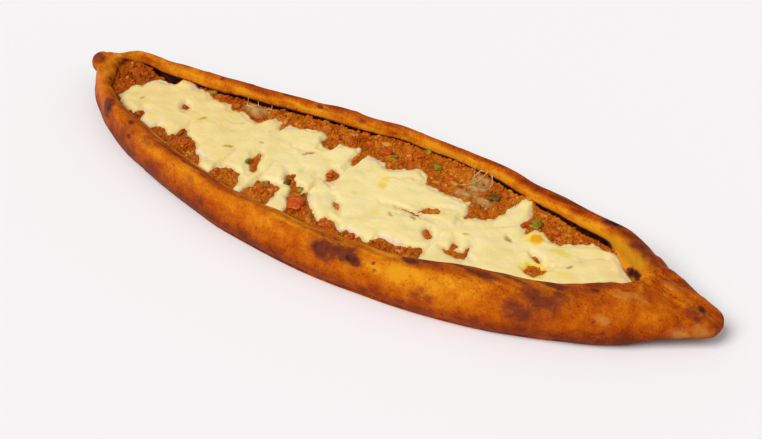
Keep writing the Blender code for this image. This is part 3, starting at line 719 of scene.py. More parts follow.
# painted shade: the nose's creases are painted darker
tone = oven_tone(crust_grid, around) + CREASE_SHADE * nose_creases(crust_grid)
tone = tone + CLOUD_TONE * clouds(crust_grid, 13 * MM, 61, 3)
tone = tone + STREAK_TONE * streaks(crust_grid, 62) * rim_share(around)
# the scorch attribute holds the scorched spots and painted shade: the hole at the nose and the walls under
# the lips
scorch = np.maximum(spot_field(crust_grid, SCORCH_AND_SHADE_SPOTS, 63), UNDER_LIP_JUICE_AND_SHADE * under_lip_juice_and_shade(crust_grid, around))
pale = spot_field(crust_grid, PALE, 64)
golden = spot_field(crust_grid, GOLDEN, 65)
print("mean tone", tone.mean().round(2), "scorched share", (scorch > 0.4).mean().round(3))

# %% [markdown]
# ## Finish of the crust
#
# Baked dough is satin, with small speckles where the flour and the sugars took the heat. The material takes
# the tone from the mesh, adds speckles in four sizes, and looks the sum up in a ramp from gold to red brown.
# Golden places go in before the scorched ones and the painted shade, which run over purple brown to nearly
# black, and the pale ones last. A little bump adds the grain of the skin.

# %% Baked dough
GOLD, AMBER, ORANGE_BROWN = (0.73, 0.285, 0.010), (0.62, 0.168, 0.005), (0.48, 0.094, 0.003)
CHESTNUT, RED_BROWN = (0.34, 0.048, 0.003), (0.17, 0.025, 0.004)
SCORCH_AND_SHADE_TINT, PURPLE_BROWN, CHAR_AND_SHADE_BLACK = (0.27, 0.046, 0.010), (0.15, 0.028, 0.012), (0.03, 0.009, 0.006)
RAW_DOUGH, SHADED_GOLD = (0.78, 0.47, 0.11), (0.52, 0.225, 0.008)
WARM_GLOSS = (1.0, 0.55, 0.14, 1)


def baked_dough():
    """Gold to red brown by tone, with speckles, scorched, pale and golden places, and painted shade."""
    finish = Finish("baked_dough", Specular_IOR_Level=0.05, Specular_Tint=WARM_GLOSS)
    mottle = (finish.noise(5 * MM, 3) - 0.5) * 0.6
    speckle = (finish.noise(1.3 * MM, 2) - 0.5) * 0.5
    dots = finish.specks(3 * MM).fade(0.3, 0.1) * finish.noise(9 * MM, 1).fade(0.46, 0.58) * 0.3
    fine_dots = finish.specks(1.8 * MM).fade(0.4, 0.1) * finish.noise(15 * MM, 1).fade(0.44, 0.6) * 0.2
    depth = finish.painted("tone") + mottle + speckle + dots + fine_dots
    ramp = [(0.0, GOLD), (0.25, AMBER), (0.5, ORANGE_BROWN), (0.75, CHESTNUT), (1.0, RED_BROWN)]
    colour = finish.ramp(depth, ramp)
    golden = finish.painted("golden") * (0.65 + finish.noise(6 * MM, 2) * 0.5)
    colour = finish.blend(golden, colour, SHADED_GOLD)
    burn_and_shade = finish.painted("scorch") * (1 + mottle * 2.2 + speckle * 1.4)
    # these dark stops colour the scorched places and the painted shade alike
    dark = finish.ramp(burn_and_shade, [(0.3, SCORCH_AND_SHADE_TINT), (0.7, PURPLE_BROWN), (1.0, CHAR_AND_SHADE_BLACK)])
    colour = finish.blend(burn_and_shade.fade(0.05, 0.6), colour, dark)
    colour = finish.blend(finish.painted("pale") * 0.9, colour, RAW_DOUGH)
    finish.feed("Base Color", colour)
    finish.feed("Roughness", 0.42 + finish.noise(3 * MM, 2) * 0.2)
    finish.bump(finish.noise(1.6 * MM, 4, 0.6), 0.35 * MM)
    return finish.material


crust = piece("crust", tube_points(crust_grid, END_BULGE) + SHIFT,
              tube_faces(*crust_grid.shape[:2]), baked_dough(), "baked_dough",
              tone=with_ends(tone), scorch=with_ends(scorch), pale=with_ends(pale), golden=with_ends(golden))
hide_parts("dough_crust")

# %% [markdown]
# ## Where the cheese lies
#
# Grated cheese melts into one sheet that creeps over the meat. Its outline is a rule and not a drawing: the
# distance to the curves of the far and the near edge, to both lips and to every bare spot, whichever is
# least, with waves for the raggedness. The distance is positive in the cheese. The same rule later says where
# crumbles may lie.

# %% The cheese's outline
LIP_GAP = 0.45 * MM  # between the sheet and either lip
EDGE_WAVE, FINE_WAVE = 0.28 * MM, 0.3 * MM
RAGGED, RAGGED_LENGTH = 0.8 * MM, 14 * MM
CHEESE_FROM, CHEESE_TO = -188.5 * MM, 169.5 * MM
END_DEPTH = 12 * MM  # from this far inside on, the sheet's two ends no longer count
SPOT_SLOPE = 1.2  # how fast the distance grows outside a bare spot
LEAN_SHARE = 0.6  # how much of the slumped wall's lean is reached at the height of the filling
# the far edge, with two lobes that reach the far lip, at x -159 and 88
FAR_EDGE = MM * np.array([
    (-190, -4), (-186, 2), (-182, 7), (-179, 13.5), (-168, 15.5), (-164, 18), (-162, 23), (-156, 24),
    (-152, 20), (-140, 20), (-135, 16.5), (-130, 18), (-121, 18), (-117, 14.5), (-110, 15.5), (-98, 12),
    (-93, 13), (-89, 21.5), (-81, 20.5), (-77.5, 13.5), (-75, 20), (-65, 23), (-53, 26.5), (-48.5, 24),
    (-46, 15.5), (-43, 13), (-40, 15), (-37, 20), (-27, 25), (-22.5, 23), (-20.5, 11), (-19, 7),
    (-17.5, 12), (-16, 21), (-8, 22.5), (2, 18.5), (10, 23.5), (18, 28), (24, 25.5), (30, 18), (42, 16.5),
    (57, 17), (60, 18), (62, 13), (65, 1.5), (68, 4.5), (77, 10.5), (80, 17), (83, 29), (86, 36.5), (90, 37),
    (94, 31), (96.5, 23), (98.5, 15), (100, 11.5), (102.5, 16), (108, 17), (115, 13), (121, 13.5), (130, 19),
    (139, 23.5), (152, 22), (158, 17), (162, 12.5), (164, 10.6), (167, 9), (172, 8),
])
# the near edge: where it lies below the near lip, the sheet runs up to the lip
UNDER_LIP = -60
NEAR_EDGE = MM * np.array([
    (-190, -14), (-184, -19), (-175, -23.5), (-167, -25), (-163.5, -20), (-161.5, -20.5), (-159, -26),
    (-153, -31.5), (-147.5, -34), (-144.5, -27.5), (-140, -26.5), (-133, -31), (-129.5, -31.5), (-127.5, -22),
    (-125.5, -20.5), (-120, -25.5), (-109.5, -29.5), (-105, -36.5), (-99, -39.5), (-96.5, -46),
    (-94, UNDER_LIP), (-86, UNDER_LIP), (-84.5, -44), (-83, -39), (-74, -37), (-69, -38.5), (-64.5, -45),
    (-61, UNDER_LIP), (-58.5, UNDER_LIP), (-56.5, -42), (-53, -35.5), (-43, -34), (-40.5, -36), (-38.5, -50),
    (-37.5, UNDER_LIP), (-26, UNDER_LIP), (-25, -48), (-24, -31), (-22, -31), (-19, -36), (-12, -41),
    (-4, -46.5), (-1.5, -42), (5, -43), (12, -48), (18, -45.5), (21, -47), (24, -45.5), (31, -48),
    (33.5, -42), (39, -39.5), (55, -38), (59.5, -33), (61.5, -38), (63.5, UNDER_LIP), (170, UNDER_LIP),
])
# middle x and y, half length and half width in mm, and turn in degrees
BARE_SPOTS = [
    (-142.5, -1.5, 3.2, 1.6, -42), (-68, -24, 9.2, 3.2, -66), (-38, -26.5, 8, 2.3, -42),
    (-27.5, -37, 9.5, 4.2, -60), (-21, -8, 5.4, 2.6, -62), (-3, -29.5, 4.6, 1.4, -42),
    (35.5, -10.8, 6, 0.9, 4), (43.5, -4.6, 6, 1.2, 42), (45.5, -2.5, 5, 2.2, 18), (55.5, -22, 4, 1.8, -54),
    (76.5, -27.5, 6, 2.6, 0), (73.8, -24, 4.4, 1.6, -70), (81.6, -23, 4.6, 1.3, -80),
    (120.5, -15.5, 5, 3.8, 0), (117, -6.5, 2.8, 1.1, -35), (125.2, -12.4, 3, 1.2, 55),
]


def trough_edges(x):
    """Where the inner edges of the near and the far lip are at x, with the slumped wall's lean."""
    near, far, _, _, near_rim, far_rim, _, _ = boat_sizes(x)
    return near + near_rim, far - far_rim - LEAN_SHARE * SLUMP * fade(SLUMP_FROM, SLUMP_TO, x)


def ellipse_level(x, y, middle_x, middle_y, length, width, turn=0):
    """0 in an ellipse's middle, 1 on its line, more outside. Its sizes are in mm, its turn in degrees."""
    c, s = np.cos(np.radians(turn)), np.sin(np.radians(turn))
    dx, dy = x - middle_x * MM, y - middle_y * MM
    return np.hypot((dx * c + dy * s) / (length * MM), (dy * c - dx * s) / (width * MM))


def bare_distance(x, y):
    """How far, about, the point is outside every bare spot: its ellipse's level times its half width."""
    nearest = np.full(np.broadcast(x, y).shape, 1.0)
    for *middle_and_length, width, turn in BARE_SPOTS:
        outside = ellipse_level(x, y, *middle_and_length, width, turn) - 1
        nearest = np.minimum(nearest, outside * (width * MM) * SPOT_SLOPE)
    return nearest


def bent(x, y):
    """The place, pushed about by short waves, so that smooth outlines read there come out ragged."""
    push_x, push_y = (RAGGED * waves(x, y, seed, RAGGED_LENGTH, 3) for seed in (24, 25))
    return x + push_x, y + push_y


def above_curve(curve, x, y):
    """How far, about, the point lies above the curve: the height over it, less where the curve is steep."""
    before, here, after = (smooth_curve(curve[:, 0], curve[:, 1], x + step * MM) for step in (-1, 0, 1))
    return (y - here) / np.hypot(1, (after - before) / (2 * MM))


def cheese_distance(x, y):
    """How far, about, the point is inside the melted cheese: positive in it, negative outside."""
    near_edge, far_edge = trough_edges(x)
    bent_x, bent_y = bent(x, y)
    melted = np.minimum(above_curve(NEAR_EDGE, bent_x, bent_y), -above_curve(FAR_EDGE, bent_x, bent_y))
    wave = EDGE_WAVE * waves(x, y, 21, 21 * MM) + FINE_WAVE * waves(x, y, 23, 6 * MM)
    inside = np.minimum(melted, bare_distance(bent_x, bent_y)) + wave
    inside = np.minimum(inside, np.minimum(y - near_edge, far_edge - y) - LIP_GAP)
    from_ends = np.minimum(x - CHEESE_FROM, CHEESE_TO - x)
    return np.minimum(inside, np.minimum(from_ends, END_DEPTH))


sample_x, sample_y = np.linspace(CHEESE_FROM, CHEESE_TO, 200), np.linspace(-60 * MM, 50 * MM, 80)
sample = cheese_distance(sample_x[:, None], sample_y)
print("share of the sampled field under cheese:", (sample > 0).mean().round(2))

# %% [markdown]
# ## The minced meat
#
# The filling is a bed of fried minced meat that fills the trough to just under the rim. It is made twice
# over. A core carries the relief of packed grains: domes round scattered seeds in two sizes, with dark gaps
# between them. Loose crumbles, each a small lumpy ball, lie on it where the cheese leaves it bare.

# %% The meat's core
GAP = 1.2 * MM
MEAT_LEVEL = 15.2 * MM
MEAT_LUMP, LUMP_LENGTH = 0.9 * MM, 16 * MM
LUMP_MARGIN = 5 * MM  # nearer to a lip than this the lumps die out
DRAW_BACK = 3.2 * MM  # how far the filling's shoulder stands back where the table of DRAWN_BACK says 1
SHOULDER, SHOULDER_DROP = 3.5 * MM, 7.0 * MM
SHOULDER_TUCK = 1 * MM  # how far under the far lip the shoulder starts where the table says 0
NEAR_SINK = 1.5 * MM
FAR_RISE = 3.4 * MM  # how much the filling rises to the far lip where it didn't draw back
CLIMB_FROM, CLIMB_TO = 9 * MM, 1 * MM  # that rise starts and ends so far before the lip
BARE_RISE = 2.1 * MM  # how much it rises where no cheese presses on it
BARE_MARGIN = 2.5 * MM  # that rise starts this far inside the cheese and is done at its edge
MOUND = 2.6 * MM
MOUND_FROM, MOUND_TO = -186 * MM, -206 * MM
MEAT_FROM, MEAT_TO = -210 * MM, 170 * MM
MEAT_RINGS, MEAT_ACROSS = 540, 176
TROUGH_CONTROLS = slice(9, 15)  # the six of a section's 26 control points that the core follows
FLOOR_POINTS = slice(2, 4)  # two of those six that lie on the trough's floor
# size of the grains, seed, share of the relief, how far a dome reaches in grain sizes, and its least height
GRAINS = [(2.8 * MM, 34, 0.62, 0.82, 0.55), (1.5 * MM, 35, 0.38, 0.8, 0.4)]
GRAIN_RELIEF, MEAN_GRAIN = 1.1 * MM, 0.55
# how far the filling drew back from the far lip: place along the boat in mm, 0 to about 2
DRAWN_BACK = [(-215, 0.4), (-203, 0.6), (-191, 0.85), (-180, 1.7), (-168, 1.9), (-163, 0.2), (-156, 0.2),
              (-151, 0.6), (-140, 0.6), (-100, 0.65), (-60, 0.55), (-30, 0.65), (-20, 0.35), (0, 0.3),
              (35, 0.35), (55, 0.3), (62, 0.6), (78, 0.65), (85, 0.1), (90, 0.1), (95, 0.6), (110, 0.6),
              (125, 0.75), (140, 0.8), (146, 0.5), (150, 0.3), (157, 0.7), (163, 1.3), (180, 1.5)]


def drawn_back(x):
    """How far the filling drew back at x, by the table."""
    return curve_of(DRAWN_BACK, x / MM)


def far_shoulder(x, y):
    """0 on the filling's top, 1 where it has fallen away to the far wall."""
    _, far_edge = trough_edges(x)
    start = far_edge + SHOULDER_TUCK - DRAW_BACK * drawn_back(x)
    return fade(start, start + SHOULDER, y)


def climb(x, y):
    """How much the filling, or the cheese on it, climbs to the far lip where it didn't draw back."""
    _, far_edge = trough_edges(x)
    left = np.maximum(1 - drawn_back(x), 0)
    return FAR_RISE * left**2 * fade(far_edge - CLIMB_FROM, far_edge - CLIMB_TO, y)


def meat_height(x, y):
    """The filling's top: a level with lumps, held down under the cheese, falling away to the far wall.

    It is heaped up at the knob, where it nearly reaches the rim."""
    near_edge, far_edge = trough_edges(x)
    bare = fade(BARE_MARGIN, 0, cheese_distance(x, y))
    inner = fade(0, LUMP_MARGIN, np.minimum(y - near_edge, far_edge - y))
    lump = MEAT_LUMP * waves(x, y, 31, LUMP_LENGTH) * inner
    lump = np.where(lump > 0, lump * bare, lump)
    rise = climb(x, y) + BARE_RISE * bare
    fall = SHOULDER_DROP * (0.15 + 0.85 * drawn_back(x)) * far_shoulder(x, y)
    sink = NEAR_SINK * fade(near_edge + 2 * MM, near_edge - 3 * MM, y)
    return MEAT_LEVEL + lump + rise - fall - sink + MOUND * fade(MOUND_FROM, MOUND_TO, x)


def minced(x, y):
    """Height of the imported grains, from 0 in the gaps to 1, and a number for each grain."""
    flat = flat_points(*np.broadcast_arrays(x, y))
    squeezed = flat + 0.9 * MM * clouds(flat, 4 * MM, 33, 2)[..., None]
    height, mean_number = 0, 0
    for size, seed, share, reach, least in GRAINS:
        nearest, number = grains(squeezed, size, seed)
        dome = np.sqrt(np.clip(1 - (nearest / reach) ** 2, 0, 1))
        height = height + share * dome * (least + (1 - least) * number)
        mean_number = mean_number + number / len(GRAINS)
    return height, mean_number


def meat_core():
    """Rings across the trough: hidden sides and bottom follow the dough, the top the level and the grains."""
    x = np.linspace(MEAT_FROM, MEAT_TO, MEAT_RINGS)
    trough = section_controls(x)[:, TROUGH_CONTROLS]
    away = trough.mean(1, keepdims=True) - trough
    inset = np.sign(away[..., 0]) * np.minimum(GAP, 0.3 * np.abs(away[..., 0]))
    low_down = trough[..., 1] < 12 * MM
    hidden = np.stack([trough[..., 0] + inset, trough[..., 1] + GAP * low_down], -1)
    under_top = meat_height(x[:, None], hidden[..., 0]) - 0.5 * MM
    hidden[..., 1] = np.minimum(hidden[..., 1], under_top)
    share = ((np.arange(MEAT_ACROSS) + 0.6) / (MEAT_ACROSS + 0.2)) ** 1.1
    top_y = hidden[:, -1:, 0] + (hidden[:, :1, 0] - hidden[:, -1:, 0]) * share
    height, number = minced(x[:, None], top_y)
    top_z = meat_height(x[:, None], top_y) + (height - MEAN_GRAIN) * GRAIN_RELIEF
    # painted shade: the grains are painted darker where the filling falls away under the far lip
    height = height * (1 - 0.9 * far_shoulder(x[:, None], top_y))
    lowest = hidden[:, FLOOR_POINTS, 1].max(1, keepdims=True) + 0.6 * MM
    top = np.stack([top_y, np.maximum(top_z, lowest)], -1)
    ring = np.concatenate([hidden, top], 1)
    plain = np.zeros(hidden.shape[:2])
    grid = np.concatenate([np.broadcast_to(x[:, None, None], (*ring.shape[:2], 1)), ring], -1)
    return grid, np.concatenate([plain, height], 1), np.concatenate([plain, number], 1)


core_grid, core_height, core_number = meat_core()
print("meat core grid:", core_grid.shape)

# %% [markdown]
# ## Finish of the minced meat
#
# Fried mince is orange brown with fat and tomato juice: each grain has its own tone, and oil makes it
# glisten.
# The gaps get painted shade and the crests a painted highlight, both from the grains' height. The tone comes
# from the mesh, so that a whole grain shares it, and noise adds the fibres inside a grain.

# %% Minced meat
MEAT_DARK, MEAT_BROWN, MEAT_ORANGE = (0.13, 0.018, 0.002), (0.31, 0.050, 0.002), (0.45, 0.100, 0.004)
MEAT_LIGHT, MEAT_OIL_AND_HIGHLIGHT = (0.58, 0.18, 0.010), (0.80, 0.38, 0.05)
ROASTED_FROM, ROASTED_TO = -60 * MM, -190 * MM


def minced_meat():
    """Painted shade in the gaps, orange brown grains, painted yellowish highlights on the crests; glossy with
    oil.
    """
    finish = Finish("minced_meat", Specular_IOR_Level=0.15, Specular_Tint=WARM_GLOSS, Coat_Roughness=0.25,
                    Coat_Tint=WARM_GLOSS)
    fibre = (finish.noise(1.1 * MM, 3) - 0.5) * 0.5
    patch = (finish.noise(12 * MM, 2) - 0.5) * 0.7
    # the grains' height paints shade into the gaps and a highlight on the crests
    depth = finish.painted("height") * 0.3 + finish.painted("number") * 0.3 + 0.24 + fibre + patch
    depth = depth - finish.painted("roasted") * 0.2
    stops = [(0.0, MEAT_DARK), (0.3, MEAT_BROWN), (0.55, MEAT_ORANGE), (0.8, MEAT_LIGHT), (1.0, MEAT_OIL_AND_HIGHLIGHT)]
    finish.feed("Base Color", finish.ramp(depth, stops))
    finish.feed("Roughness", 0.62 - finish.noise(4 * MM, 2) * 0.4)
    finish.feed("Coat Weight", finish.noise(6 * MM, 1).fade(0.45, 0.65) * 0.16)
    finish.bump(finish.noise(0.9 * MM, 3), 0.35 * MM)
    return finish.material


def roasted(x):
    """How much darker and redder the meat is: 0 over most of its length, rising to 1 at the knob end."""
    return fade(ROASTED_FROM, ROASTED_TO, x)


meat_finish = minced_meat()
core_points = tube_points(core_grid, 0)
core = piece("meat_core", core_points + SHIFT, tube_faces(*core_grid.shape[:2]), meat_finish, "minced_meat",
             height=with_ends(core_height), number=with_ends(core_number), roasted=roasted(core_points[:, 0]))
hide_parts("meat_filling")

# %% [markdown]
# ## Loose crumbles
#
# A crumble is a ball of twenty triangles, or of eighty where it is large, squeezed and dented so that no two
# look alike. All crumbles are one joined mesh: the ball's points are an array, and sizes, turns and places
# are arrays with one row for each crumble, multiplied in one go. The diced vegetables are made in the same
# way later, from finer balls with their points pushed towards a cube.

# %% Many small bodies at once
DENT_DEPTH = 0.7  # of a body's least half size, where its own dent factor is 1
DENT_SIZE = 1.6 * MM
FIELD_NEAR, FIELD_FAR = -68 * MM, 50 * MM  # from before the near lip to behind the far one
LOOSE_TO = 158 * MM  # nothing is strewn beyond this, where the lips close in


def ball(level):
    """Points and triangles of a round ball: 20 triangles at level 1, and four times as many at each next."""
    shape = bmesh.new()
    bmesh.ops.create_icosphere(shape, subdivisions=level, radius=1)
    mesh = bpy.data.meshes.new("ball")
    shape.to_mesh(mesh)
    shape.free()
    points = np.empty(len(mesh.vertices) * 3)
    faces = np.empty(len(mesh.polygons) * 3, int)
    mesh.vertices.foreach_get("co", points)
    mesh.polygons.foreach_get("vertices", faces)
    bpy.data.meshes.remove(mesh)
    return points.reshape(-1, 3), faces.reshape(-1, 3)


def cubed(points, edge=5):
    """Pushes a ball's points towards a cube: each is divided by its length in a higher norm."""
    return points / ((np.abs(points) ** edge).sum(-1, keepdims=True) ** (1 / edge))


def about_axis(axis, angle):
    """The matrices that turn by the angles about the unit axes: cosine, sine and outer product terms."""
    c, s = np.cos(angle)[:, None, None], np.sin(angle)[:, None, None]
    x, y, z = axis.T
    zero = 0 * x
    cross = np.stack([zero, -z, y, z, zero, -x, -y, x, zero], -1).reshape(-1, 3, 3)
    outer = axis[:, :, None] * axis[:, None, :]
    return c * np.eye(3) + s * cross + (1 - c) * outer


def turned(spin, draw, tilt):
    """Turning matrices: the spins about the vertical, then up to the tilt about a level axis."""
    lean = draw.uniform(-tilt, tilt, len(spin))
    way = draw.uniform(0, 2 * np.pi, len(spin))
    axis = np.stack([np.cos(way), np.sin(way), 0 * way], -1)
    return about_axis(axis, lean) @ about_axis(np.broadcast_to([0.0, 0, 1], axis.shape), spin)


def bodies(form, places, sizes, turns, dent, seed):
    """Copies of the form at the places, scaled, turned, and dented by clouds: points and [triangles]."""
    points, faces = form
    sized = points[None] * sizes[:, None, :]
    placed = np.einsum("nij,nkj->nki", turns, sized)
    world = placed + places[:, None, :]
    depth = sizes.min(1)[:, None, None] * dent * DENT_DEPTH
    outwards = placed / np.maximum(np.linalg.norm(placed, axis=-1, keepdims=True), 1e-9)
    world = world + outwards * depth * clouds(world, DENT_SIZE, seed, 2)[..., None]
    shift = np.arange(len(places))[:, None, None] * len(points)
    return world.reshape(-1, 3), [(faces[None] + shift).reshape(-1, 3)]


def bare_places(pitch, room, seed):
    """Places of a jittered grid over the filling, clear of the cheese, the near wall and the far shoulder."""
    draw = np.random.default_rng(seed)
    along = np.arange(MEAT_FROM + pitch, LOOSE_TO, pitch)
    x, y = (part.ravel() for part in np.meshgrid(along, np.arange(FIELD_NEAR, FIELD_FAR, pitch)))
    x = x + draw.uniform(-0.5, 0.5, x.shape) * pitch
    y = y + draw.uniform(-0.5, 0.5, y.shape) * pitch
    near_edge, _ = trough_edges(x)
    free = np.minimum(-cheese_distance(x, y), y - near_edge + 2 * MM)
    keep = (free > room) & (far_shoulder(x, y) < 0.3)
    return x[keep], y[keep], draw


print("a larger crumble's ball has", len(ball(2)[1]), "triangles")

# %% Crumbles of meat
# how far apart they lie and how large they are in mm, the ball's level, and the seed
CRUMBS = [(1.4, 0.72, 1, 41), (4.4, 1.4, 2, 43)]


def crumb_layer(pitch, size, level, seed):
    """One layer's points and triangles, and each point's height and its crumb's number, from 0 to 1."""
    x, y, draw = bare_places(pitch * MM, 0.1 * MM, seed)
    base = size * MM * (0.6 + 0.6 * draw.uniform(0, 1, len(x)) ** 2)
    sizes = base[:, None] * draw.uniform(0.6, 1.5, (len(x), 3)) * (1, 1, 0.8)
    z = meat_height(x, y) - 0.25 * base
    spin = draw.uniform(0, 2 * np.pi, len(x))
    points, faces = bodies(ball(level), np.stack([x, y, z], -1), sizes, turned(spin, draw, 1.0), 1.0, seed)
    per_ball = len(points) // len(x)
    number = np.repeat(draw.uniform(0, 1, len(x)), per_ball)
    # the height paints each crumb darker low down and lighter on top: painted shade and painted highlight
    height = np.clip((points[:, 2] - np.repeat(z - base, per_ball)) / np.repeat(2 * base, per_ball), 0, 1)
    return (points, faces), height, number


def crumbles():
    """Lumpy balls of meat on the bare filling: many small ones, and some larger."""
    layers, heights, numbers = zip(*(crumb_layer(*layer) for layer in CRUMBS))
    points, faces = joined(layers)
    piece("meat_crumbles", points + SHIFT, faces, meat_finish, "minced_meat", height=np.concatenate(heights),
          number=np.concatenate(numbers), roasted=roasted(points[:, 0]))


crumbles()

# %% [markdown]
# ## The melted cheese
#
# The sheet is a grid of small cells, of which those inside the outline are kept. Points on the outline are
# moved onto it, step by step down the slope of the distance. The upper face rises from the meat as a quarter
# round and swells to its full height within a few millimetres. Soft folds run along it, where it flowed.

# %% The sheet's cells
CELL = 0.95 * MM
SHEET_NEAR, SHEET_FAR = -64 * MM, 46 * MM  # the grid's limits across, past the sheet's widest places


def without_corner_touches(mask):
    """Fills cells until no two cells of the mask touch only at a corner."""
    mask = mask.copy()
    for _ in range(len(mask)):
        a, b, c, d = mask[:-1, :-1], mask[1:, :-1], mask[:-1, 1:], mask[1:, 1:]
        rising, falling = a & d & ~b & ~c, b & c & ~a & ~d
        if not (rising | falling).any():
            break
        mask[1:, :-1] |= rising
        mask[:-1, :-1] |= falling
    return mask


def hangs_together(mask):
    """The cells that hang together with the middle one, found by growing it inside the mask."""
    filled = np.argwhere(mask)
    patch = np.zeros_like(mask)
    patch[tuple(filled[len(filled) // 2])] = True
    while True:
        grown = patch.copy()
        for _ in range(8):
            grown[1:] |= grown[:-1] & mask[1:]
            grown[:-1] |= grown[1:] & mask[:-1]
            grown[:, 1:] |= grown[:, :-1] & mask[:, 1:]
            grown[:, :-1] |= grown[:, 1:] & mask[:, :-1]
        if (grown == patch).all():
            return patch
        patch = grown


def onto_outline(x, y, on_edge, distance):
    """Moves the edge's points onto the line where the distance is 0, in a few steps down its slope."""
    small, limit = 0.1 * MM, 0.3 * CELL
    for _ in range(6):
        here = distance(x, y)
        slope_x = (distance(x + small, y) - distance(x - small, y)) / (2 * small)
        slope_y = (distance(x, y + small) - distance(x, y - small)) / (2 * small)
        steep = np.maximum(slope_x**2 + slope_y**2, 0.3)
        x = x - np.where(on_edge, np.clip(here * slope_x / steep, -limit, limit), 0)
        y = y - np.where(on_edge, np.clip(here * slope_y / steep, -limit, limit), 0)
    return x, y


def sheet_cells(x_range, y_range, distance):
    """Grid points, kept cells, and which points they use, for the sheet where the distance is positive."""
    x, y = (part.T for part in np.meshgrid(np.arange(*x_range, CELL), np.arange(*y_range, CELL)))
    in_cell = distance(x[:-1, :-1] + 0.5 * CELL, y[:-1, :-1] + 0.5 * CELL) > 0
    mask = hangs_together(without_corner_touches(in_cell))
    used = np.zeros(x.shape, int)
    for i, j in ((0, 0), (1, 0), (0, 1), (1, 1)):
        used[i : i + mask.shape[0], j : j + mask.shape[1]] += mask
    x, y = onto_outline(x, y, (used > 0) & (used < 4), distance)
    return x, y, mask, used > 0


def sheet_faces(mask, keep):
    """Upper and lower face of every kept cell, and a wall along each side that has no neighbour."""
    numbers = np.cumsum(keep).reshape(keep.shape) - 1
    layer = keep.sum()
    i, j = np.nonzero(mask)
    ring = np.stack([numbers[i, j], numbers[i + 1, j], numbers[i + 1, j + 1], numbers[i, j + 1]], -1)
    sides = np.concatenate([ring[:, [k, (k + 1) % 4]] for k in range(4)])
    key, back = sides @ [layer, 1], sides[:, ::-1] @ [layer, 1]
    open_sides = sides[~np.isin(key, back)]
    a, b = open_sides.T
    walls = np.stack([a, b, b + layer, a + layer], -1)
    return [np.concatenate([ring + layer, ring[:, ::-1], walls])]


cheese_x, cheese_y, cheese_mask, cheese_keep = sheet_cells(
    (CHEESE_FROM - 4 * CELL, CHEESE_TO + 4 * CELL), (SHEET_NEAR, SHEET_FAR), cheese_distance)
print("cheese cells kept:", int(cheese_mask.sum()))

# %% The sheet's upper face
CHEESE_TOP = 18.9 * MM
EDGE_THICK = 0.55 * MM
OUTER_SLOPE, HOLE_SLOPE = 6 * MM, 4 * MM
CHEESE_SWELL, SWELL_LENGTH = 0.5 * MM, 45 * MM
CHEESE_FOOT = 0.7 * MM
SINK_IN = 0.1 * MM  # how far the sheet's rim sinks into the meat
# slits and small dark marks: middle x and y, half length and half width in mm, and turn in degrees
MARKS = [
    (-124, -5.5, 3.8, 1.5, 56), (-172, -10, 2.4, 1.1, 80), (-91, -20, 3.6, 1.2, 36), (-46.5, 2, 5, 1.3, 44),
    (28.5, -20, 3.6, 1.1, -38), (41.5, -16, 2.6, 0.8, -45), (95.5, -0.5, 3.4, 1.2, -38),
    (135.6, -3.2, 2.8, 1.3, 82), (74, -10, 2.4, 0.8, 5), (-77, -7, 2, 0.9, 0),
]
MARK_DEPTH = 0.7 * MM
# creases where a lobe folded over another: from x, y to x, y, in mm
FOLD_LINES = [(137, 1, 138, 9), (138, 9, 143, 14), (143, 14, 157, 16), (49, -1, 54, 4), (-60, 4, -44, -3),
              (-110, 2, -98, 6), (10, 10, 26, 16), (84, 4, 96, 14), (-30, -14, -12, -18),
              (-92, -36, -80, -42)]
FOLD_LINE_DEPTH = 0.5 * MM
FOLD_LINE_BEND, FOLD_LINE_WAVE = 3 * MM, 30 * MM
LONG_FOLD, SMALL_FOLD, FLOW_CREASE = 0.4 * MM, 0.13 * MM, 0.12 * MM


def flow_folds(x, y):
    """Soft folds along the sheet: clouds stretched along x, in two sizes, with shallow creases cut in."""
    long_folds = clouds(flat_points(x, y, 1.8), 11 * MM, 81, 2)
    small_folds = clouds(flat_points(x, y, 1.3), 4 * MM, 82, 2)
    creases = 1 - np.abs(clouds(flat_points(x, y, 2), 13 * MM, 83, 2))
    return LONG_FOLD * long_folds + SMALL_FOLD * small_folds - FLOW_CREASE * fade(0.8, 1.0, creases)


def mark_field(x, y):
    """1 in the slits and dark marks, fading out at their ragged edges."""
    field = np.zeros(x.shape)
    ragged_place = bent(x, y)
    for mark in MARKS:
        field = np.maximum(field, fade(1.2, 0.4, ellipse_level(*ragged_place, *mark)))
    return field


def fold_lines(x, y):
    """1 on the creases, 0 from two millimetres away: the distance to each straight stretch, bent by waves."""
    field = np.zeros(x.shape)
    push_x, push_y = (FOLD_LINE_BEND * waves(x, y, seed, FOLD_LINE_WAVE) for seed in (26, 27))
    for start_x, start_y, end_x, end_y in FOLD_LINES:
        way = np.array([end_x - start_x, end_y - start_y]) * MM
        off_x, off_y = x + push_x - start_x * MM, y + push_y - start_y * MM
        t = np.clip((off_x * way[0] + off_y * way[1]) / (way @ way), 0, 1)
        away = np.hypot(off_x - t * way[0], off_y - t * way[1])
        field = np.maximum(field, fade(1.8 * MM, 0.2 * MM, away) * np.sqrt(4 * t * (1 - t) + 0.05))
    return field


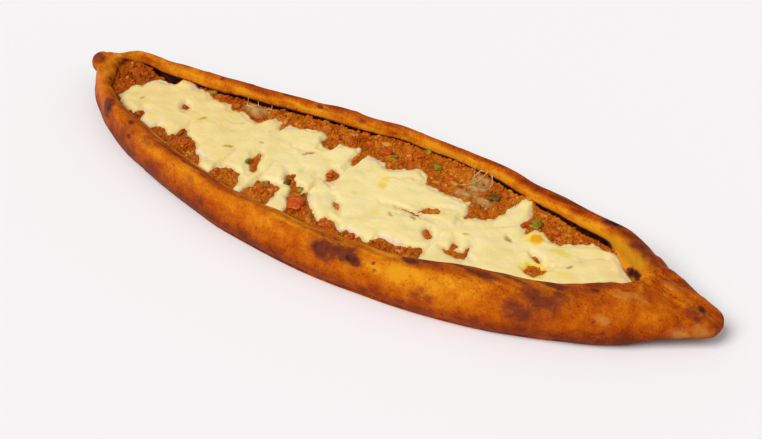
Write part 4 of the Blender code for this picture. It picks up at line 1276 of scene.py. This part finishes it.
def cheese_heights(x, y):
    """Lower and upper face: a small quarter round at the edge, then a slope that flattens to full height.

    The slope is short at the bare spots and long at the outer edge. Swells and folds lie on top."""
    inside = cheese_distance(x, y)
    outer = bare_distance(*bent(x, y)) - inside
    slope = HOLE_SLOPE + (OUTER_SLOPE - HOLE_SLOPE) * fade(0, 4 * MM, outer)
    edge = np.sqrt(1 - (1 - np.clip(inside / EDGE_THICK, 0, 1)) ** 2)
    share = 1 - (1 - np.clip(inside / slope, 0, 1)) ** 2
    start = meat_height(x, y) - SINK_IN
    full = CHEESE_TOP + CHEESE_SWELL * waves(x, y, 22, SWELL_LENGTH) + flow_folds(x, y) + climb(x, y)
    full = full - MARK_DEPTH * mark_field(x, y) - FOLD_LINE_DEPTH * fold_lines(x, y)
    upper = start + EDGE_THICK * edge + (full - start - EDGE_THICK) * share
    return start - CHEESE_FOOT, upper, inside


keep_x, keep_y = cheese_x[cheese_keep], cheese_y[cheese_keep]
cheese_low, cheese_high, cheese_inside = cheese_heights(keep_x, keep_y)
low_then_high = [np.stack([keep_x, keep_y, height], -1) for height in (cheese_low, cheese_high)]
cheese_points = np.concatenate(low_then_high)
print("cheese top up to", (cheese_high.max() / MM).round(2), "mm")

# %% [markdown]
# Melted cheese is pale yellow cream. It lets a little light in, so its edges glow, and where it is thin the
# orange of the meat shines through. Drops of yellow oil have soaked in here and there.

# %% Melted cheese
# middle x and y, half length and half width in mm, and strength
OIL_SPOTS = [(7.5, 6, 3.2, 2.2, 0.6), (9.5, 0, 3.2, 2.2, 0.7), (109, 8, 4.8, 4.8, 1), (107, 8, 7, 5, 0.5),
             (126, 5, 8, 4, 0.55), (0, -15, 3, 2.4, 0.4), (-124, -6, 6, 4, 0.4), (-91, -20, 5, 3, 0.4),
             (-14, 6, 2, 1.6, 0.5), (120, -15, 9, 7.5, 0.7), (136, -11, 6, 3, 0.35), (75, -10, 4, 2.4, 0.35),
             (-112, 9, 6, 3, 0.3), (20, -22, 3, 2, 0.35), (97, 27, 4, 3, 0.35), (-33, 2, 5, 3, 0.2)]
CHEESE_CREAM, CHEESE_WARM, CHEESE_THIN = (0.92, 0.76, 0.34), (0.84, 0.61, 0.20), (0.72, 0.36, 0.12)
CHEESE_MILKY = (0.84, 0.68, 0.48)
CHEESE_YELLOW, CHEESE_OIL, CHEESE_MARK = (0.90, 0.63, 0.06), (0.86, 0.38, 0.0), (0.40, 0.20, 0.02)
WARM_FROM, WARM_TO = -30 * MM, -150 * MM


def oil_field(x, y):
    """How much yellow oil has soaked in: the strongest of the soft round spots."""
    field = np.zeros(x.shape)
    ragged_place = bent(x, y)
    for *ellipse, strength in OIL_SPOTS:
        field = np.maximum(field, strength * fade(1.3, 0.5, ellipse_level(*ragged_place, *ellipse)))
    return field


def melted_cheese():
    """Cream with warm clouds, orange where thin, yellow where oily, with light scattered inside."""
    finish = Finish("melted_cheese", Specular_IOR_Level=0.35, Subsurface_Weight=0.4, Subsurface_Scale=0.004,
                    Subsurface_Radius=(1.0, 0.6, 0.25))
    warm = finish.noise(12 * MM, 3).fade(0.35, 0.75) * 0.45 + finish.painted("warm") * 0.45
    colour = finish.blend(warm, CHEESE_CREAM, CHEESE_WARM)
    colour = finish.blend(finish.painted("milky"), colour, CHEESE_MILKY)
    shreds = finish.noise(1.8 * MM, 2).fade(0.3, 0.6)
    colour = finish.blend(finish.painted("thin") * (0.35 + shreds * 0.6), colour, CHEESE_THIN)
    oil = finish.painted("oil")
    colour = finish.blend(oil.fade(0, 0.8), colour, CHEESE_YELLOW)
    colour = finish.blend(oil.fade(0.65, 1), colour, CHEESE_OIL)
    colour = finish.blend(finish.painted("mark") * 0.85, colour, CHEESE_MARK)
    finish.feed("Base Color", colour)
    finish.feed("Roughness", 0.36 + finish.noise(5 * MM, 2) * 0.2)
    finish.bump(finish.noise(2.4 * MM, 2), 0.2 * MM)
    return finish.material


def cheese_paint(x, y, inside):
    """The painted values of the sheet's points: thin and milky at edges, thin and milky with painted shade in
    the folds, oily, marked, warm.
    """
    flat = flat_points(x, y)
    ragged = 0.5 + 0.5 * clouds(flat, 5 * MM, 84, 2)
    # along the creases the sheet is painted thin and milky: thinner cheese, and painted shade in the creases
    folds = fold_lines(x, y)
    thin = np.maximum(fade(2.6 * MM, 0, inside), 0.4 * folds) * (0.4 + 0.6 * ragged)
    at_rim = 0.4 + 0.6 * fade(0, 3 * MM, bare_distance(*bent(x, y)) - inside)
    cloudy = fade(6 * MM, 1 * MM, inside) * fade(0, 0.8, clouds(flat, 9 * MM, 85, 2)) * at_rim
    milky = np.maximum(cloudy, 0.5 * folds)
    warm = np.maximum(fade(WARM_FROM, WARM_TO, x), 0.5 * fade(120 * MM, 160 * MM, x))
    return {"thin": thin, "milky": milky, "oil": oil_field(x, y), "mark": mark_field(x, y), "warm": warm}


cheese_finish = melted_cheese()
paint = {key: np.tile(values, 2) for key, values in cheese_paint(keep_x, keep_y, cheese_inside).items()}
cheese = piece("cheese_sheet", cheese_points + SHIFT, sheet_faces(cheese_mask, cheese_keep), cheese_finish,
               "melted_cheese", **paint)
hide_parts("melted_cheese")

# %% [markdown]
# ## Diced vegetables
#
# Diced tomato, green pepper and onion peep out of the meat, and some are stuck in the cheese's edge. The
# larger ones lie at chosen places, on whatever surface shows there. Small bits are strewn by the same seeded
# rule as the crumbles. Each kind has its own mesh and its own finish.

# %% Finishes and places of the vegetables
def vegetable(name, deep, light, roughness):
    """Moist flesh: two tones mixed by noise, with a thin glossy coat."""
    finish = Finish(name, Roughness=roughness, Coat_Weight=0.12, Coat_Roughness=0.25, Specular_IOR_Level=0.3,
                    Specular_Tint=WARM_GLOSS, Coat_Tint=WARM_GLOSS)
    share = finish.noise(2.5 * MM, 2).fade(0.35, 0.65)
    finish.feed("Base Color", finish.blend(share, deep, light))
    finish.bump(finish.noise(1.2 * MM, 2), 0.25 * MM)
    return finish.material


# middle x and y, length and width in mm, and turn in degrees
TOMATO_DICE = [
    (-8, 30, 6.5, 4, 20), (-29, 38, 5.5, 3, 10), (97, 16.5, 2.8, 7.5, -20), (115, 19, 5.5, 3.4, -20),
    (-62, 31, 5, 4.5, 30), (-22, 32, 5.4, 3.6, -15), (-23, -42, 9, 12, 15), (1, -47, 6, 5, 20),
    (39, 29, 4, 3, 0), (-117, -31, 4.6, 4.4, 40), (-50, -43, 3, 2.4, 0), (-46, -44, 3, 2.6, 60),
    (-40, -22, 3.6, 2, 35), (12, 38, 4.4, 3, 50), (74, 33, 4, 3, -30), (-70, 34, 4.6, 3, 15),
    (-128, 22, 3.6, 2.8, 30), (-22.5, -9.5, 3.8, 3, 20), (128, 24, 4.4, 3, 20), (20, -47, 4, 3, 15),
]
PEPPER_DICE = [
    (-2, 29, 5, 2, 30), (14, 43, 4.4, 3, 0), (26, 34, 7, 4, -20), (-29, -30, 3.6, 4.4, 20),
    (101, 20.5, 7.6, 7.6, -10), (-50, -36, 4.6, 4.4, 30), (-138, 21, 4.6, 3.6, 10), (-72, -25, 2.2, 4.6, 0),
    (-120, -27, 3, 2.4, 60), (52, 34, 3.6, 2.6, 0), (-88, 30, 3.4, 2.4, 45), (-132, -38, 3, 2.2, 0),
]
DARK_PEPPER_DICE = [
    (-40, -28, 3.6, 5.4, 10), (69, 29, 7, 6, 20), (59, 35, 4, 4, 40), (-24, -34, 2.6, 4.4, 0),
]
ONION_DICE = [
    (-14, 37, 10, 3.4, 12), (43, 26, 6, 2.6, -10), (102, 29, 4.4, 2.4, 30), (6, 34, 5, 2.6, -25),
    (33, 22, 5, 2.6, 30), (-36, 33, 4.6, 2.4, 5), (-58, 36, 4, 2.2, 40), (88, 36, 4, 2.4, -30),
    (-108, -38, 4, 2.2, 10), (-8, -50, 4, 2.4, 0), (50, -44, 4, 2.4, 20),
]
# mesh, dice, their half height and the small bits' pitch in mm, seed, finish, its two tones and roughness
VEGETABLES = [
    ("tomato_bits", TOMATO_DICE, 1.3, 9, 71,
     "cooked_tomato", (0.46, 0.045, 0.004), (0.62, 0.13, 0.010), 0.35),
    ("pepper_bits", PEPPER_DICE, 1.1, 26, 72,
     "green_pepper", (0.15, 0.12, 0.005), (0.36, 0.27, 0.020), 0.35),
    ("dark_pepper_bits", DARK_PEPPER_DICE, 1.1, 40, 73,
     "dark_green_pepper", (0.07, 0.045, 0.005), (0.16, 0.12, 0.01), 0.4),
    ("onion_bits", ONION_DICE, 0.8, 13, 74,
     "fried_onion", (0.54, 0.18, 0.015), (0.66, 0.29, 0.045), 0.35),
]


# %% Dice
def top_height(x, y):
    """The surface that shows: the cheese where it lies, the filling elsewhere."""
    _, sheet, inside = cheese_heights(x, y)
    return np.where(inside > 0, sheet, meat_height(x, y))


def die(level):
    """A ball whose points are pushed towards a cube."""
    points, faces = ball(level)
    return cubed(points), faces


def chosen_dice(dice, half_height, seed):
    """The large dice, at their own places and nearly level."""
    x, y, length, width, turn = np.array(dice).T
    sizes = np.stack([0.5 * length, 0.5 * width, np.full(len(x), half_height)], -1) * MM
    turns = turned(np.radians(turn), np.random.default_rng(seed), 0.3)
    z = top_height(x * MM, y * MM) + 0.3 * MM
    return bodies(die(3), np.stack([x * MM, y * MM, z], -1), sizes, turns, 0.3, seed)


def strewn_dice(pitch, seed):
    """Small bits of many sizes, turned any way, where the filling is bare."""
    x, y, draw = bare_places(pitch, 0.8 * MM, seed)
    sizes = draw.uniform(0.4, 1.1, (len(x), 1)) * draw.uniform(0.6, 1.5, (len(x), 3)) * MM
    turns = turned(draw.uniform(0, 2 * np.pi, len(x)), draw, 1)
    return bodies(die(2), np.stack([x, y, meat_height(x, y) + 0.2 * MM], -1), sizes, turns, 0.2, seed)


def diced(name, dice, half_height, pitch, seed, material):
    """One joined mesh of the chosen dice and the strewn bits of one kind."""
    points, faces = joined([chosen_dice(dice, half_height, seed), strewn_dice(pitch * MM, seed)])
    piece(name, points + SHIFT, faces, material, "minced_meat")


for name, dice, half_height, pitch, seed, *finish in VEGETABLES:
    diced(name, dice, half_height, pitch, seed, vegetable(*finish))

# %% [markdown]
# ## Strings and skins of cheese
#
# Where the cheese bubbled up against the rim it left thin strings between the lip and the filling, and skins
# so thin that the meat shows through. A string is a tube along a smooth curve through a few chosen points,
# thicker at its feet. A skin is a flat round body of two faces laid over the meat. Its Alpha, painted and
# broken by noise, lets it fade out at its edge and leaves ribs and gaps.

# %% Cheese strings
# thickness, then the points (x, y, z) that the string follows, in mm
STRINGS = [
    (0.3, [(-114, 28.5, 22.5), (-113, 26, 20), (-111, 22, 18)]),
    (0.34, [(-107, 30, 22.3), (-106.5, 28, 20), (-105, 26, 18)]),
    (0.28, [(-97, 33, 22), (-96.5, 30, 20), (-95, 27, 18)]),
    (0.4, [(-111, 22, 18.2), (-107, 21.5, 18.4), (-101, 23, 18.4), (-95, 27, 18.2)]),
    (0.28, [(51, 43, 21), (56, 44, 20.8), (60, 41, 20.2), (63, 36, 19.4), (62, 31, 18.8), (57, 29.5, 18.6),
            (52, 32, 18.6), (50, 38, 19.6), (51, 43, 21)]),
    (0.26, [(47, 43, 22.5), (48, 41, 20), (49, 39, 18.2)]),
    (0.28, [(60, 41.5, 22), (62, 37, 20), (63, 33, 18.4)]),
    (0.26, [(56, 43, 22.3), (54, 36, 19.4), (50, 30, 18.4), (45, 26, 18.2)]),
]
STRING_STEPS, STRING_SIDES = 28, 8
ASKEW = (0.2, 0.3, 1.0)  # a direction that no string follows
STRING_TONE = 0.6  # how thin and how warm the strings' cheese looks


def path_through(points, count):
    """Even steps along the smooth curve through the points, measured by the length of their chords."""
    points = np.array(points, float)
    chords = np.linalg.norm(np.diff(points, axis=0), axis=1)
    knots = np.concatenate([[0], np.cumsum(chords)])
    t = np.linspace(0, knots[-1], count)
    return np.stack([smooth_curve(knots, points[:, k], t) for k in range(3)], -1)


def string_mesh(thickness, points):
    """A tube along the curve through the points, its radius growing towards both feet."""
    t = np.linspace(0, 1, STRING_STEPS)[:, None]
    line = path_through(points, STRING_STEPS)
    forward = np.gradient(line, axis=0)
    forward /= np.linalg.norm(forward, axis=1, keepdims=True)
    side = np.cross(forward, ASKEW)
    side /= np.linalg.norm(side, axis=1, keepdims=True)
    up = np.cross(side, forward)
    angle = np.linspace(0, 2 * np.pi, STRING_SIDES, endpoint=False)
    radius = 0.5 * thickness * (1 + 1.8 * np.abs(2 * t - 1) ** 5)
    ring = side[:, None] * np.cos(angle)[None, :, None] + up[:, None] * np.sin(angle)[None, :, None]
    grid = (line[:, None] + ring * radius[:, None]) * MM
    return tube_points(grid, 0), tube_faces(STRING_STEPS, STRING_SIDES)


string_points, string_faces = joined([string_mesh(*string) for string in STRINGS])
string_tone = np.full(len(string_points), STRING_TONE)
piece("cheese_strings", string_points + SHIFT, string_faces, cheese_finish, "melted_cheese",
      thin=string_tone, warm=string_tone)

# %% Cheese skins
# middle x and y, half length and half width in mm, and turn in degrees
SKINS = [(-103, 20.5, 11.2, 6.6, -3), (56, 33, 10, 8, -65), (66.5, 20.5, 9, 4.4, 4), (53, 22, 9, 5, 10)]
SKIN_RINGS, SKIN_AROUND = 13, 72
FIRST_RING = 0.08  # as a share of the skin's half sizes
SKIN_LIFT, SKIN_THICKNESS = 1.5 * MM, 0.2 * MM
SKIN_COLOUR = (0.68, 0.34, 0.10)
VEIL = 0.4


def out_and_back(middle, edge):
    """Even steps from the middle's value to the edge's over the upper face, and back over the lower face."""
    return np.concatenate([np.linspace(middle, edge, SKIN_RINGS), np.linspace(edge, middle, SKIN_RINGS)[1:]])


def skin_mesh(middle_x, middle_y, length, width, turn):
    """Rings from the middle of the upper face to its edge and back to the middle of the lower face."""
    reach = out_and_back(FIRST_RING, 1)[:, None]
    angle = np.linspace(0, 2 * np.pi, SKIN_AROUND, endpoint=False)[None]
    c, s = np.cos(np.radians(turn)), np.sin(np.radians(turn))
    along, across = reach * length * np.cos(angle), reach * width * np.sin(angle)
    x, y = (middle_x + along * c - across * s) * MM, (middle_y + along * s + across * c) * MM
    face = np.where(np.arange(len(reach)) < SKIN_RINGS, 1, -1)[:, None]
    z = meat_height(x, y) + SKIN_LIFT * (1 - reach**4) + 0.5 * SKIN_THICKNESS * face * (1 - reach**2)
    return tube_points(np.stack([x, y, z], -1), 0), tube_faces(len(reach), SKIN_AROUND)


def cheese_skin():
    """Pale, see-through cheese: its Alpha is the painted veil, broken into ribs by noise."""
    finish = Finish("cheese_skin", Roughness=0.3, Specular_IOR_Level=0.35)
    ribs = finish.noise(5 * MM, 2).fade(0.32, 0.6) * 0.5 + 0.5
    finish.feed("Base Color", finish.blend(finish.noise(4 * MM, 2).fade(0.4, 0.65), SKIN_COLOUR, CHEESE_WARM))
    finish.feed("Alpha", finish.painted("veil") * ribs)
    return finish.material


ring_veil = VEIL * fade(0, 0.6, out_and_back(1, 0))
veil = with_ends(np.broadcast_to(ring_veil[:, None], (len(ring_veil), SKIN_AROUND)))
skin_points, skin_faces = joined([skin_mesh(*skin) for skin in SKINS])
piece("cheese_skins", skin_points + SHIFT, skin_faces, cheese_skin(), "melted_cheese",
      veil=np.tile(veil, len(SKINS)))

# %% [markdown]
# ## Floor, light and camera
#
# The bread lies on a plain pale floor under soft light. One wide, far lamp shines from above and before it, a
# second fills in from the other side, and the pale world lights the shadows. Far lamps light the whole floor
# evenly. The camera stands where a person would look along the bread from its nose end, and its view is
# worked out from two angles and a place.

# %% Floor
STUDIO_HALF = 4.0
STUDIO_TINTS = (0.92, 0.905, 0.91), (0.93, 0.915, 0.92)


def floor():
    """A wide level sheet just under the bread."""
    finish = Finish("pale_floor", Roughness=0.9, Specular_IOR_Level=0.1)
    finish.feed("Base Color", finish.blend(finish.noise(0.6, 1), *STUDIO_TINTS))
    mesh = bpy.data.meshes.new("floor")
    corners = [(x * STUDIO_HALF, y * STUDIO_HALF, 0) for x, y in ((-1, -1), (1, -1), (1, 1), (-1, 1))]
    mesh.from_pydata(corners, [], [(0, 1, 2, 3)])
    mesh.materials.append(finish.material)
    obj = bpy.data.objects.new("floor", mesh)
    bpy.context.scene.collection.objects.link(obj)


floor()

# %% Lights and world
def direction(azimuth, elevation):
    """The unit vector from the bread to a place seen at these angles, azimuth 0 being straight before it."""
    a, e = np.radians(azimuth), np.radians(elevation)
    return np.array([np.sin(a) * np.cos(e), -np.cos(a) * np.cos(e), np.sin(e)])


def facing(obj, back):
    """Turns an object so that its -Z axis looks against the back vector, with its X axis level."""
    right = np.cross([0, 0, 1], back)
    right /= np.linalg.norm(right)
    up = np.cross(back, right)
    obj.rotation_euler = Matrix(np.stack([right, up, back], 1).tolist()).to_euler()


def lamp(name, azimuth, elevation, width, strength):
    """A far lamp, as wide in the sky as the width in degrees, which softens its shadows."""
    light = bpy.data.lights.new(name, "SUN")
    light.angle = np.radians(width)
    light.energy = strength
    obj = bpy.data.objects.new(name, light)
    facing(obj, direction(azimuth, elevation))
    bpy.context.scene.collection.objects.link(obj)


WORLD_COLOUR, WORLD_STRENGTH = (1, 0.99, 0.99, 1), 0.34
lamp("key", -25, 52, 38, 2.3)
lamp("fill", 75, 40, 60, 0.4)
world = bpy.data.worlds.new("studio")
world.use_nodes = True
background = world.node_tree.nodes["Background"].inputs
background["Color"].default_value = WORLD_COLOUR
background["Strength"].default_value = WORLD_STRENGTH
bpy.context.scene.world = world
bpy.context.scene.view_settings.view_transform = "Standard"

# %% Camera
CAMERA_PLACE = np.array([0.3637, -0.5171, 0.4936])
CAMERA_AZIMUTH, CAMERA_ELEVATION = 34.5, 38.6
LENS, SENSOR_WIDTH = 62.88, 36
camera_data = bpy.data.cameras.new("camera")
camera_data.lens = LENS
camera_data.sensor_width = SENSOR_WIDTH
camera = bpy.data.objects.new("camera", camera_data)
camera.location = CAMERA_PLACE + SHIFT
facing(camera, direction(CAMERA_AZIMUTH, CAMERA_ELEVATION))
bpy.context.scene.collection.objects.link(camera)
bpy.context.scene.camera = camera
